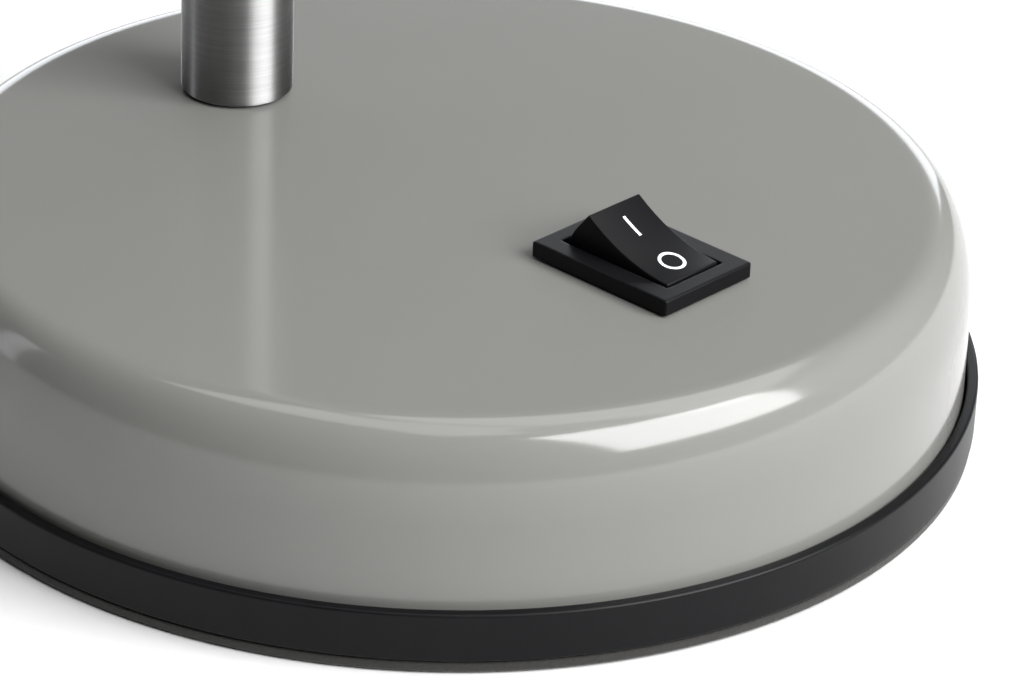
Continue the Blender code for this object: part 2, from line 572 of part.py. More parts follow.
# ---- stem -------------------------------------------------------------------------------------------
def stem(steel, zinc, nylon):
    """The tube, the plug and nipple that fix it, and the bush that the swivel turns in."""
    at = (0, STEM_Y, 0)
    tube = tube_outline(STEM_RADIUS, BORE_OF_STEM, STEM_BOTTOM, STEM_TOP)
    place("stem_tube", turned_mesh("stem_tube", tube, 32), steel, location=at)
    plug = tube_outline(BORE_OF_STEM - SEAT_GAP, NIPPLE_RADIUS + SEAT_GAP, STEM_BOTTOM,
                        STEM_BOTTOM + PLUG_LENGTH)
    place("stem_plug", turned_mesh("stem_plug", plug, 16), zinc, location=at)
    nipple = tube_outline(NIPPLE_RADIUS, NIPPLE_BORE, BASE_HEIGHT - NIPPLE_DROP,
                          STEM_BOTTOM + PLUG_LENGTH - 0.001)
    place("stem_nipple", turned_mesh("stem_nipple", nipple, 16), zinc, location=at)
    washer_top = COVER_CEILING - SEAT_GAP
    washer_low = washer_top - STEM_WASHER_THICKNESS
    washer = tube_outline(STEM_WASHER_RADIUS, NIPPLE_RADIUS + HOLE_GAP, washer_low, washer_top)
    place("stem_washer", turned_mesh("stem_washer", washer, 16), zinc, location=at)
    nut_top = washer_low - SEAT_GAP
    nut = nut_mesh("stem_nut", STEM_NUT_RADIUS, NIPPLE_RADIUS + SEAT_GAP, nut_top - STEM_NUT_HEIGHT, nut_top)
    place("stem_nut", nut, zinc, location=at)
    bore = SPIGOT_RADIUS + RUN_GAP
    flange_low = STEM_TOP + SEAT_GAP
    bush = [(bore, flange_low - BUSH_LENGTH), (BORE_OF_STEM - SEAT_GAP, flange_low - BUSH_LENGTH),
            (BORE_OF_STEM - SEAT_GAP, flange_low), (STEM_RADIUS, flange_low),
            (STEM_RADIUS, flange_low + BUSH_FLANGE), (bore, flange_low + BUSH_FLANGE)]
    place("stem_bush", turned_mesh("stem_bush", bush, 24), nylon, location=at)


# ---- knuckles -----------------------------------------------------------------------------------------
def across(name, outline, finish, parent, steps=16):
    """A turned piece laid with its axis along X, through its parent's origin."""
    mesh = turned_mesh(name, outline, steps)
    mesh.transform(Matrix.Rotation(math.pi / 2, 4, "Y"))
    return place(name, mesh, finish, parent)


def knuckle_washers(prefix, finish, parent):
    """The friction washer on each side of an eye."""
    low = EYE_THICKNESS / 2 + RUN_GAP
    for side, start in (("left", -low - WASHER_THICKNESS), ("right", low)):
        ring = tube_outline(WASHER_RADIUS, BOLT_RADIUS + RUN_GAP, start, start + WASHER_THICKNESS)
        across(f"{prefix}_washer_{side}", ring, finish, parent)


def knuckle_bolt(name, finish, parent):
    """The bolt through both cheeks, its head on the left."""
    low = -CHEEK_OUTER - SEAT_GAP - BOLT_HEAD_HEIGHT
    seat = -CHEEK_OUTER - SEAT_GAP
    end = CHEEK_OUTER + KNOB_LENGTH * 0.7
    outline = [(0, low), (BOLT_HEAD_RADIUS - 0.0006, low), (BOLT_HEAD_RADIUS, low + 0.0006),
               (BOLT_HEAD_RADIUS, seat), (BOLT_RADIUS, seat), (BOLT_RADIUS, end), (0, end)]
    across(name, outline, finish, parent)


def knob(name, finish, parent):
    """The lobed clamp knob on the bolt's right end, with a blind bore."""
    start = CHEEK_OUTER + RUN_GAP
    end = start + KNOB_LENGTH
    bm = bmesh.new()
    steps = KNOB_LOBES * 3
    skirt = 0.0008

    def ring(x, radius, wave):
        spots = []
        for i in range(steps):
            angle = math.tau * i / steps
            reach = radius - wave * (0.5 - 0.5 * math.cos(KNOB_LOBES * angle))
            spots.append(bm.verts.new((x, reach * math.cos(angle), reach * math.sin(angle))))
        return spots

    bore = BOLT_RADIUS + RUN_GAP
    bore_end = CHEEK_OUTER + KNOB_LENGTH * 0.7 + RUN_GAP
    rings = [ring(bore_end, bore, 0), ring(start, bore, 0), ring(start, KNOB_RADIUS * 0.7, 0),
             ring(start + 0.002, KNOB_RADIUS * 0.72, 0), ring(start + 0.003, KNOB_RADIUS, KNOB_LOBE_DEPTH),
             ring(end - skirt, KNOB_RADIUS, KNOB_LOBE_DEPTH),
             ring(end, KNOB_RADIUS - skirt, KNOB_LOBE_DEPTH * 0.8)]
    for near, far in zip(rings, rings[1:]):
        for i in range(steps):
            bm.faces.new((near[i], near[(i + 1) % steps], far[(i + 1) % steps], far[i]))
    bm.faces.new(rings[0])
    bm.faces.new(rings[-1])
    place(name, finish_mesh(name, bm), finish, parent)


def fork_bore(fork, prefix, parent):
    """Cuts the bolt's hole through both cheeks."""
    hole = turned_mesh(f"{prefix}_bore", rod_outline(BOLT_RADIUS + RUN_GAP, -0.02, 0.02), 16)
    hole.transform(Matrix.Rotation(math.pi / 2, 4, "Y"))
    boolean(fork, cutter(f"{prefix}_bore", hole, parent))


def fork_flats(fork, prefix, parent):
    """Mills both sides of a fork flat for the bolt's head and the knob."""
    slab = box_mesh(f"{prefix}_flats", (2 * CHEEK_OUTER, 0.08, 0.08))
    boolean(fork, cutter(f"{prefix}_flats", slab, parent), "INTERSECT")


def swivel(steel, zinc, nylon):
    """The fork that swings on the stem, its spigot and retaining nut, and the arm's bolt."""
    axis = axis_empty("swing_axis", (0, STEM_Y, SWIVEL_Z))
    pivot = axis_empty("arm_bolt_axis", (0, 0, ARM_PIVOT_Z - SWIVEL_Z), parent=axis)
    height = ARM_PIVOT_Z - SWIVEL_Z
    outline = [(SPIGOT_RADIUS + SEAT_GAP, 0.0), (STEM_RADIUS, 0.0), (FORK_RADIUS, 0.003),
               *arc((0, height), (FORK_RADIUS, FORK_RADIUS), 0, 90, 6),
               (0, FORK_FOOT * 0.7), (SPIGOT_RADIUS + SEAT_GAP, FORK_FOOT * 0.7)]
    fork = place("swivel_fork", turned_mesh("swivel_fork", outline, 24), steel, axis)
    slot_height = 0.03
    slot = box_mesh("fork_slot", (2 * CHEEK_INNER, 0.04, slot_height),
                    (0, 0, height - EYE_RADIUS - FORK_CLEARANCE + slot_height / 2))
    boolean(fork, cutter("fork_slot", slot, axis))
    fork_flats(fork, "swivel_fork", pivot)
    fork_bore(fork, "swivel_fork", pivot)
    lead_outline = rod_outline(SPIGOT_BORE, FORK_FOOT * 0.5, FORK_FOOT + 0.004)
    lead_hole = turned_mesh("fork_lead_hole", lead_outline, 16)
    boolean(fork, cutter("fork_lead_hole", lead_hole, axis))
    spigot_low = -(SEAT_GAP + BUSH_FLANGE + RUN_GAP + BUSH_LENGTH + 0.006)
    spigot = tube_outline(SPIGOT_RADIUS, SPIGOT_BORE, spigot_low, FORK_FOOT * 0.7 - SEAT_GAP)
    place("swivel_spigot", turned_mesh("swivel_spigot", spigot, 20), zinc, axis)
    nut_high = -(BUSH_FLANGE + RUN_GAP + BUSH_LENGTH) - RUN_GAP
    nut = tube_outline(BORE_OF_STEM - SEAT_GAP, SPIGOT_RADIUS + SEAT_GAP, nut_high - 0.0035, nut_high)
    place("swivel_nut", turned_mesh("swivel_nut", nut, 16), zinc, axis)
    knuckle_bolt("arm_bolt", zinc, pivot)
    knuckle_washers("arm", nylon, pivot)
    return axis


# ---- arm ------------------------------------------------------------------------------------------------
def arm(parent, steel, zinc, nylon):
    """The tube with an eye at the stem and a fork at the head, along its own -Y."""
    axis = axis_empty("arm_axis", (0, 0, ARM_PIVOT_Z - SWIVEL_Z), (-math.radians(ARM_RISE), 0, 0), parent)
    eye = rod_outline(EYE_RADIUS, -EYE_THICKNESS / 2, EYE_THICKNESS / 2, 0.0005)
    eye_piece = across("arm_eye", eye, steel, axis, 24)
    neck_radius = ARM_RADIUS - ARM_WALL - SEAT_GAP
    shank = turned_mesh("eye_shank", [(0, 0.004), (min(neck_radius, EYE_THICKNESS / 2 - 0.0003), 0.004),
                                      (min(neck_radius, EYE_THICKNESS / 2 - 0.0003), TUBE_START - 0.003),
                                      (ARM_RADIUS, TUBE_START - 0.0025), (ARM_RADIUS, TUBE_START - SEAT_GAP),
                                      (neck_radius, TUBE_START - SEAT_GAP),
                                      (neck_radius, TUBE_START + SOCKET_LENGTH),
                                      (0, TUBE_START + SOCKET_LENGTH)], 16)
    shank.transform(Matrix.Rotation(math.pi / 2, 4, "X"))
    boolean(eye_piece, cutter("eye_shank", shank, axis), "UNION")
    fork_bore(eye_piece, "arm_eye", axis)
    tube = turned_mesh("arm_tube", tube_outline(ARM_RADIUS, ARM_RADIUS - ARM_WALL, TUBE_START, TUBE_END), 24)
    tube.transform(Matrix.Rotation(math.pi / 2, 4, "X"))
    place("arm_tube", tube, steel, axis)
    head_pivot = axis_empty("head_bolt_axis", (0, -ARM_LENGTH, 0), parent=axis)
    arm_fork(head_pivot, steel, neck_radius)
    knuckle_bolt("head_bolt", zinc, head_pivot)
    knuckle_washers("head", nylon, head_pivot)
    return axis, head_pivot


def arm_fork(pivot, steel, neck_radius):
    """The fork at the arm's far end, about the head's pivot."""
    root = EYE_RADIUS + FORK_CLEARANCE
    outline = [(0, -FORK_RADIUS), *arc((0, 0), (FORK_RADIUS, FORK_RADIUS), -75, 0, 5),
               (FORK_RADIUS, root - 0.0005), (ARM_RADIUS, TUBE_START - SEAT_GAP),
               (neck_radius, TUBE_START - SEAT_GAP), (neck_radius, TUBE_START + SOCKET_LENGTH),
               (0, TUBE_START + SOCKET_LENGTH)]
    mesh = turned_mesh("arm_fork", outline, 24)
    mesh.transform(Matrix.Rotation(-math.pi / 2, 4, "X"))
    fork = place("arm_fork", mesh, steel, pivot)
    slot = box_mesh("arm_fork_slot", (2 * CHEEK_INNER, 0.03, 0.04), (0, root - 0.015, 0))
    boolean(fork, cutter("arm_fork_slot", slot, pivot))
    fork_flats(fork, "arm_fork", pivot)
    fork_bore(fork, "arm_fork", pivot)


# ---- head -----------------------------------------------------------------------------------------------
def head(parent, finishes):
    """The tilting head: tongue, neck cap, shade, lamp holder and bulb, hanging along its own -Z."""
    axis = axis_empty("head_axis", (0, 0, 0), (math.radians(ARM_RISE), 0, 0), parent)
    head_tongue(axis, finishes["steel"])
    cap_top = -TONGUE_DROP - SEAT_GAP
    cap_low = cap_top - CAP_THICKNESS
    cap = [(NIPPLE_RADIUS + HOLE_GAP, cap_low), (NECK_RADIUS, cap_low), (NECK_RADIUS, cap_low + 0.0012),
           (NECK_RADIUS - 0.004, cap_top), (NIPPLE_RADIUS + HOLE_GAP, cap_top)]
    place("neck_cap", turned_mesh("neck_cap", cap, 24), finishes["steel"], axis)
    shade(axis, finishes["enamel"], cap_low - SEAT_GAP)
    ceiling = cap_low - SEAT_GAP - SHADE_WALL - SEAT_GAP
    nut = nut_mesh("shade_nut", STEM_NUT_RADIUS, NIPPLE_RADIUS + SEAT_GAP, ceiling - SHADE_NUT_HEIGHT, ceiling)
    place("shade_nut", nut, finishes["zinc"], axis)
    lamp_holder(axis, finishes["plastic"])
    bulb(axis, finishes["zinc"], finishes["glass"])


def head_tongue(axis, steel):
    """The eye between the arm fork's cheeks, its stalk, and the nipple below the neck cap."""
    eye = rod_outline(EYE_RADIUS, -EYE_THICKNESS / 2, EYE_THICKNESS / 2, 0.0005)
    tongue = across("head_tongue", eye, steel, axis, 24)
    stalk_radius = EYE_THICKNESS / 2 - 0.0003
    collar = -TONGUE_DROP + 0.002
    low = -(TONGUE_DROP + HEAD_NIPPLE_LENGTH)
    stalk = turned_mesh("tongue_stalk", [(0, -0.004), (0, low), (NIPPLE_RADIUS, low),
                                         (NIPPLE_RADIUS, -TONGUE_DROP), (0.0062, -TONGUE_DROP),
                                         (0.0062, collar), (stalk_radius, collar + 0.0005),
                                         (stalk_radius, -0.004)], 16)
    boolean(tongue, cutter("tongue_stalk", stalk, axis), "UNION")
    fork_bore(tongue, "head_tongue", axis)


def bell(radius_in, radius_out, height, top, steps, reverse=False):
    """Points down a bell: it leaves the neck level and falls steeper to the mouth."""
    points = []
    for i in range(steps + 1):
        turn = math.radians(90 * i / steps)
        radius = radius_in + (radius_out - radius_in) * math.sin(turn) ** 1.15
        points.append((radius, top - height * (1 - math.cos(turn)) ** 0.95))
    return points[::-1] if reverse else points


def shade(axis, enamel, top):
    """The spun bell with a cylindrical neck, open at the mouth and rolled at its lip."""
    dome_top = top - NECK_LENGTH
    mouth = dome_top - DOME_HEIGHT
    outer = bell(NECK_RADIUS, MOUTH_RADIUS - LIP_RADIUS, DOME_HEIGHT, dome_top, 9)
    inner = bell(NECK_RADIUS - SHADE_WALL, MOUTH_RADIUS - LIP_RADIUS - SHADE_WALL,
                 DOME_HEIGHT - SHADE_WALL, dome_top - SHADE_WALL, 9, reverse=True)
    lip = arc((MOUTH_RADIUS - LIP_RADIUS, mouth), (LIP_RADIUS, LIP_RADIUS), 90, -90, 4)
    hole = NIPPLE_RADIUS + HOLE_GAP
    outline = [(hole, top), (NECK_RADIUS - 0.001, top), (NECK_RADIUS, top - 0.001), *outer[:-1], *lip,
               (MOUTH_RADIUS - LIP_RADIUS - SHADE_WALL, mouth - LIP_RADIUS), *inner,
               (NECK_RADIUS - SHADE_WALL, top - SHADE_WALL), (hole, top - SHADE_WALL)]
    place("shade", turned_mesh("shade", outline, 36), enamel, axis)


def lamp_holder(axis, plastic):
    """The holder's cup, and the ring screwed on its rim."""
    low = HOLDER_TOP - HOLDER_LENGTH
    cup = max(BULB_CAP_RADIUS, BULB_NECK_RADIUS) + 2 * SEAT_GAP
    top = HOLDER_TOP - SEAT_GAP
    outline = [(0, top), (HOLDER_RADIUS - 0.002, top), (HOLDER_RADIUS, top - 0.003), (HOLDER_RADIUS, low),
               (cup, low), (cup, top - 0.006), (0, top - 0.006)]
    place("lamp_holder", turned_mesh("lamp_holder", outline, 24), plastic, axis)
    ring_top = low + HOLDER_RING_HEIGHT + 0.004
    bore = HOLDER_RADIUS + SEAT_GAP
    ring = [(bore, ring_top - HOLDER_RING_HEIGHT), (HOLDER_RING_RADIUS - 0.001, ring_top - HOLDER_RING_HEIGHT),
            (HOLDER_RING_RADIUS, ring_top - HOLDER_RING_HEIGHT + 0.001), (HOLDER_RING_RADIUS, ring_top),
            (bore, ring_top)]
    place("holder_ring", turned_mesh("holder_ring", ring, 24), plastic, axis)


def bulb(axis, metal, glass):
    """A golf-ball bulb: its screw cap, and the glass as a thin shell open at its neck."""
    cap_top = HOLDER_TOP - SEAT_GAP - 0.006 - SEAT_GAP
    cap_low = cap_top - BULB_CAP_LENGTH
    outline = [(0, cap_top), (0.003, cap_top), (BULB_CAP_RADIUS, cap_top - 0.003),
               (BULB_CAP_RADIUS, cap_low), (0, cap_low)]
    place("bulb_cap", turned_mesh("bulb_cap", outline, 16), metal, axis)
    neck_top = cap_low - SEAT_GAP
    centre = neck_top - BULB_LENGTH + BULB_RADIUS
    meet = math.degrees(math.asin(BULB_NECK_RADIUS / BULB_RADIUS))
    outer = arc((0, centre), (BULB_RADIUS, BULB_RADIUS), 90 - meet, -90, 9)
    inside = BULB_RADIUS - BULB_WALL
    inner = arc((0, centre), (inside, inside), -90, 90 - meet, 9)
    neck_inside = inner[-1][0]
    profile = [(BULB_NECK_RADIUS, neck_top), *outer, *inner, (neck_inside, neck_top)]
    place("bulb_glass", turned_mesh("bulb_glass", profile, 24), glass, axis)


def build():
    """Makes every piece."""
    clear_scene()
    enamel = material("grey_enamel", (0.46, 0.45, 0.43), 0.12)
    steel = material("brushed_steel", (0.60, 0.59, 0.57), 0.30, 1.0)
    zinc = material("zinc_plate", (0.55, 0.56, 0.58), 0.40, 1.0)
    iron = material("cast_iron", (0.10, 0.10, 0.11), 0.75, 0.6)
    brass = material("brass", (0.72, 0.52, 0.22), 0.35, 1.0)
    black = material("black_plastic", (0.020, 0.020, 0.021), 0.45)
    rubber = material("black_rubber", (0.015, 0.015, 0.015), 0.80)
    foam = material("foot_foam", (0.060, 0.060, 0.060), 0.90)
    nylon = material("nylon", (0.05, 0.05, 0.05), 0.55)
    block = material("connector_plastic", (0.80, 0.78, 0.72), 0.50)
    brown = material("brown_insulation", (0.18, 0.08, 0.04), 0.50)
    blue = material("blue_insulation", (0.04, 0.12, 0.40), 0.50)
    glass = material("opal_glass", (0.90, 0.89, 0.86), 0.20)
    foot_pad(foam)
    base_tray(black)
    base_cover(enamel)
    ballast(iron)
    tray_screws(zinc)
    centre_fixing(zinc)
    cable_grommet(rubber)
    switch_housing(black)
    switch_terminals(brass)
    switch_rocker(black, zinc)
    contact_blade(brass)
    inner_wiring(block, brown, blue)
    stem(steel, zinc, nylon)
    swing_axis = swivel(steel, zinc, nylon)
    knob("arm_knob", black, axis_empty("arm_knob_axis", (0, 0, ARM_PIVOT_Z - SWIVEL_Z), parent=swing_axis))
    arm_axis, head_pivot = arm(swing_axis, steel, zinc, nylon)
    knob("head_knob", black, axis_empty("head_knob_axis", (0, -ARM_LENGTH, 0), parent=arm_axis))
    head(head_pivot, {"steel": steel, "zinc": zinc, "enamel": enamel, "plastic": black, "glass": glass})


build()
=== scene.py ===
import json
import math

import bmesh
import bpy
import numpy as np
from bpy.props import FloatProperty, FloatVectorProperty, PointerProperty
from mathutils import Matrix, Vector


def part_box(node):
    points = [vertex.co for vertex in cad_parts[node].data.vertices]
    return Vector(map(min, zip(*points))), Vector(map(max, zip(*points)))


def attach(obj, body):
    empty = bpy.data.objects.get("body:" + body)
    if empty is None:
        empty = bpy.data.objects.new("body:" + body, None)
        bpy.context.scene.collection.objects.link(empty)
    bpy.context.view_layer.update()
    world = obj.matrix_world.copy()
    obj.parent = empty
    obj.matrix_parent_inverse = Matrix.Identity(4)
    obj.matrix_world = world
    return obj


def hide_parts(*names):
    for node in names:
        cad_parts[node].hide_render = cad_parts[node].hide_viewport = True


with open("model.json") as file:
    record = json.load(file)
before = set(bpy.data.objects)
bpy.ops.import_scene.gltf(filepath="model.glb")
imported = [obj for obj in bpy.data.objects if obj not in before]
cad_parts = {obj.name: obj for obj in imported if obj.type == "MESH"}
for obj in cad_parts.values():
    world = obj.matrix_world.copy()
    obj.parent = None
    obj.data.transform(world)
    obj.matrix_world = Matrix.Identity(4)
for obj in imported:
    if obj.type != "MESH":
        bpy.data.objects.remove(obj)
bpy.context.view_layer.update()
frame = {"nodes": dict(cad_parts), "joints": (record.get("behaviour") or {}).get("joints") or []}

bl_info = {
    "name": "Swing arm desk lamp",
    "version": (1, 0, 0),
    "blender": (4, 5, 0),
    "location": "View3D > Sidebar > Desk Lamp",
    "description": "Builds a grey enamelled desk lamp, its switch, arm and shade on a packed frame",
    "category": "Add Mesh",
}

MM = 0.001
SEAT_GAP = 0.3 * MM                        # between pieces that fit against each other
HOLE_GAP = 0.4 * MM                        # round a piece that goes through a hole
TUB_X, TUB_Y = 6.4 * MM, 9.4 * MM          # half of the switch's tub, across and along
NIPPLE_BORE = 4.4 * MM                     # hole for the nipple in the shade and in its cap
SPIGOT = 12 * MM                           # how far a shank reaches into the arm tube
FINE_STEPS = 256                           # points round the cover, the rim and the shade
SHARP = 35.0                               # faces that meet at a greater angle show an edge, degrees


# ---- places read from the frame ------------------------------------------------------------------
def low(node):
    """A node's lowest corner."""
    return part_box(node)[0]


def high(node):
    """A node's highest corner."""
    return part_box(node)[1]


def joint_place(name):
    """Where a joint's axis passes, in metres."""
    return Vector(next(j["pos_m"] for j in frame["joints"] if j["name"] == name))


COVER_RADIUS = high("base_cover").x
BASE_TOP = high("base_cover").z
RIM_RADIUS = high("base_tray").x
STEM_AT = Vector((0, (low("stem_tube").y + high("stem_tube").y) / 2, 0))
STEM_RADIUS = high("stem_tube").x
SWITCH_AT = Vector((0, (low("switch_housing").y + high("switch_housing").y) / 2, 0))
BEZEL_TOP = high("switch_housing").z
ARM_AT = joint_place("arm_tilt")
HEAD_AT = joint_place("head_tilt")
ROCKER_AT = joint_place("switch_rock")
ARM_REACH = HEAD_AT - ARM_AT
ARM_RISE = math.atan2(ARM_REACH.z, -ARM_REACH.y)
FORK_FOOT = low("swivel_fork").z
INLET_HEIGHT = (low("cable_grommet").z + high("cable_grommet").z) / 2
GROMMET_NECK = 4.7 * MM
ROCKER_TILT = math.radians(19)

UPRIGHT = Matrix.Identity(4)
TO_X = Matrix.Rotation(math.pi / 2, 4, "Y")            # a turned piece's +Z laid along +X
TO_FRONT = Matrix.Rotation(math.pi / 2, 4, "X")        # its +Z laid along -Y
TO_BACK = Matrix.Rotation(-math.pi / 2, 4, "X")        # its +Z laid along +Y
STEM_SPOT = Matrix.Translation(STEM_AT)
SWITCH_SPOT = Matrix.Translation(SWITCH_AT)
ROCKER_SPOT = Matrix.Translation(ROCKER_AT) @ Matrix.Rotation(ROCKER_TILT, 4, "X")
SWIVEL_SPOT = Matrix.Translation((0, STEM_AT.y, FORK_FOOT))
ARM_SPOT = Matrix.Translation(ARM_AT) @ Matrix.Rotation(-ARM_RISE, 4, "X")
HEAD_FORK_SPOT = Matrix.Translation(HEAD_AT) @ Matrix.Rotation(-ARM_RISE, 4, "X")
HEAD_SPOT = Matrix.Translation(HEAD_AT)


# ---- what a user may change ----------------------------------------------------------------------
class LampFinishes(bpy.types.PropertyGroup):
    """Colours of the lamp's paint, metal and plastic."""
    enamel: FloatVectorProperty(name="Enamel", description="Glossy paint of the base and the shade",
                                subtype="COLOR", size=3, default=(0.178, 0.178, 0.169), min=0, max=1)
    shade_inside: FloatVectorProperty(name="Shade inside", description="White paint inside the shade",
                                      subtype="COLOR", size=3, default=(0.83, 0.82, 0.78), min=0, max=1)
    steel: FloatVectorProperty(name="Steel", description="Brushed steel of the stem and the arm",
                               subtype="COLOR", size=3, default=(0.38, 0.38, 0.38), min=0, max=1)
    plastic: FloatVectorProperty(name="Plastic", description="Black plastic of the rim, switch and knobs",
                                 subtype="COLOR", size=3, default=(0.0028, 0.0028, 0.0036), min=0, max=1)
    enamel_roughness: FloatProperty(name="Enamel roughness", description="Blur of what the paint mirrors",
                                    default=0.13, min=0.02, max=1)
    steel_roughness: FloatProperty(name="Steel roughness", description="Blur of what the steel mirrors",
                                   default=0.52, min=0.02, max=1)


class LampShapes(bpy.types.PropertyGroup):
    """Sizes of the lamp's own details that the frame leaves open."""
    shoulder_width: FloatProperty(name="Shoulder width", description="How far in the cover starts to round",
                                  default=6.6 * MM, min=1 * MM, max=12 * MM, unit="LENGTH")
    shoulder_height: FloatProperty(name="Shoulder height", description="Height of the cover's rounding",
                                   default=11.4 * MM, min=1 * MM, max=20 * MM, unit="LENGTH")
    shoulder_softness: FloatProperty(name="Shoulder softness", description="Power that eases the flat top over",
                                     default=2.6, min=2, max=4)
    mark_line: FloatProperty(name="Mark line", description="Width of the printed switch marks",
                             default=0.40 * MM, min=0.1 * MM, max=1 * MM, unit="LENGTH")


class LampStage(bpy.types.PropertyGroup):
    """Light around the lamp."""
    key: FloatProperty(name="Key light", description="Brightness of the large softbox on the right",
                       default=13.0, min=0, max=100)
    overhead: FloatProperty(name="Overhead light", description="Brightness of the light above",
                            default=2.6, min=0, max=100)
    back: FloatProperty(name="Back light", description="Brightness of the low white card behind",
                        default=3.8, min=0, max=100)
    left: FloatProperty(name="Left card", description="Brightness of the narrow card on the left",
                        default=2.4, min=0, max=100)
    air: FloatProperty(name="Surroundings", description="Brightness of the room above the floor",
                       default=0.05, min=0, max=10)


# ---- outlines: points (reach, height), as whole arrays -------------------------------------------
def rounded(corners, radii, closed=False, steps=5):
    """An outline with arcs at its corners. An arc of radius r at a corner that opens by angle w starts
    r / tan(w / 2) from it on both sides, and is centred r / sin(w / 2) along the line that halves w."""
    corners = np.array(corners, float)
    parts = []
    last = len(corners) - 1
    for i, (corner, radius) in enumerate(zip(corners, radii)):
        if radius == 0 or (not closed and i in (0, last)):
            parts.append(corner[None])
            continue
        before, after = corners[i - 1] - corner, corners[(i + 1) % len(corners)] - corner
        before, after = before / np.linalg.norm(before), after / np.linalg.norm(after)
        half = math.acos(np.clip(before @ after, -1, 1)) / 2
        middle = before + after
        centre = corner + middle / np.linalg.norm(middle) * radius / math.sin(half)
        start, end = (corner + side * radius / math.tan(half) - centre for side in (before, after))
        turn = math.atan2(start[0] * end[1] - start[1] * end[0], start @ end)
        angles = math.atan2(start[1], start[0]) + turn * np.linspace(0, 1, steps + 1)
        parts.append(centre + radius * np.stack((np.cos(angles), np.sin(angles)), 1))
    return np.concatenate(parts)


def filled(outline, spacing, closed=False, edge=0.12 * MM):
    """The outline with points added on its long stretches: one close to each end, so that a flat face
    stays flat up to its rounding, and others evenly between, spacing apart or less."""
    ends = np.roll(outline, -1, 0) if closed else outline[1:]
    parts = []
    for a, b in zip(outline, ends):
        length = np.linalg.norm(b - a)
        t = np.linspace(0, 1, max(1, math.ceil(length / spacing)) + 1)[:-1]
        if length > 6 * edge:
            t = np.unique(np.concatenate((t, [edge / length, 1 - edge / length])))
        parts.append(a + t[:, None] * (b - a))
    if not closed:
        parts.append(outline[-1:])
    return np.concatenate(parts)


def quarter(centre, radii, start, end, steps):
    """Points of an ellipse's arc about a centre, from one angle to another in degrees."""
    angles = np.radians(np.linspace(start, end, steps + 1))
    return np.stack((centre[0] + radii[0] * np.cos(angles), centre[1] + radii[1] * np.sin(angles)), 1)


# ---- surfaces: grids of points in two parameters -------------------------------------------------
def turned(outline, steps=128):
    """The outline carried round Z: a point (r, h) goes to (r cos a, r sin a, h) for each angle a."""
    a = np.arange(steps) * math.tau / steps
    r, h = outline[:, :1], outline[:, 1:]
    return np.stack((r * np.cos(a), r * np.sin(a), h + 0 * a), -1)


def fluted(outline, depth, count, steps=192, twist=0.0):
    """A turned surface with flutes: at angle a and share s of the depth given for each point, the radius is
    r - s * (1 - cos(count * a + twist * h)) / 2."""
    a = np.arange(steps) * math.tau / steps
    r, h = outline[:, :1], outline[:, 1:]
    r = r - np.asarray(depth)[:, None] * (1 - np.cos(count * a + twist * h)) / 2
    return np.stack((r * np.cos(a), r * np.sin(a), h + 0 * a), -1)


def box_loops(levels, steps=8):
    """A loft of rounded rectangles. Each level is (half width, half length, corner radius, height), and each
    corner is a quarter circle of that radius about the point that far inside both sides."""
    levels = np.array(levels, float)
    half_x, half_y, radius, z = (levels[:, i, None, None] for i in range(4))
    angle = np.radians(np.linspace(0, 90, steps + 1))[None, None] + np.radians([0, 90, 180, 270])[None, :, None]
    side_x = np.array([1, -1, -1, 1])[None, :, None]
    side_y = np.array([1, 1, -1, -1])[None, :, None]
    x = side_x * (half_x - radius) + radius * np.cos(angle)
    y = side_y * (half_y - radius) + radius * np.sin(angle)
    return np.stack((x, y, z + 0 * x), -1).reshape(len(levels), -1, 3)


def slab(outline, half_width, edge, steps=4):
    """A closed outline of (y, z) carried along X between two flat ends with rounded edges. Near an end the
    outline shrinks along its own normals by edge * (1 - cos t) while x goes on by edge * sin t."""
    ahead = np.roll(outline, -1, 0) - outline
    behind = outline - np.roll(outline, 1, 0)
    run = ahead / np.linalg.norm(ahead, axis=1)[:, None] + behind / np.linalg.norm(behind, axis=1)[:, None]
    run = run / np.linalg.norm(run, axis=1)[:, None]
    inward = np.stack((-run[:, 1], run[:, 0]), 1)
    area = np.sum(outline[:, 0] * np.roll(outline[:, 1], -1) - np.roll(outline[:, 0], -1) * outline[:, 1])
    inward = inward * np.sign(area)
    t = np.linspace(0, math.pi / 2, steps + 1)
    flat = half_width - edge
    x = np.concatenate((-flat - edge * np.cos(t), [0], (flat + edge * np.cos(t))[::-1]))
    shrink = np.concatenate((edge * (1 - np.sin(t)), [0], (edge * (1 - np.sin(t)))[::-1]))
    spot = outline[None] + inward[None] * shrink[:, None, None]
    return np.concatenate((np.broadcast_to(x[:, None, None], spot.shape[:2] + (1,)), spot), -1)


def cheek(inner, outer, radius, root, edge=0.35 * MM, side=1):
    """One cheek of a fork, as a loft along X of stadium outlines about the pivot. At x the stadium's radius is
    sqrt(radius^2 - x^2), the section of a ball and its cylinder, and its legs go down to root below."""
    t = np.linspace(0, math.pi / 2, 5)
    x = np.concatenate((inner + edge * (1 - np.cos(t)), np.linspace(inner + edge, outer - edge, 6)[1:-1],
                        outer - edge * (1 - np.sin(t))))
    inset = np.concatenate((edge * (1 - np.sin(t)), np.zeros(4), edge * (1 - np.cos(t))))
    reach = np.sqrt(radius ** 2 - x ** 2)[:, None] - inset[:, None]
    a = np.radians(np.linspace(0, 180, 41))[None]
    y = np.concatenate((reach * np.cos(a), -reach, reach), 1)
    z = np.concatenate((reach * np.sin(a), 0 * reach - root, 0 * reach - root), 1)
    return np.stack((side * x[:, None] + 0 * y, y, z), -1)


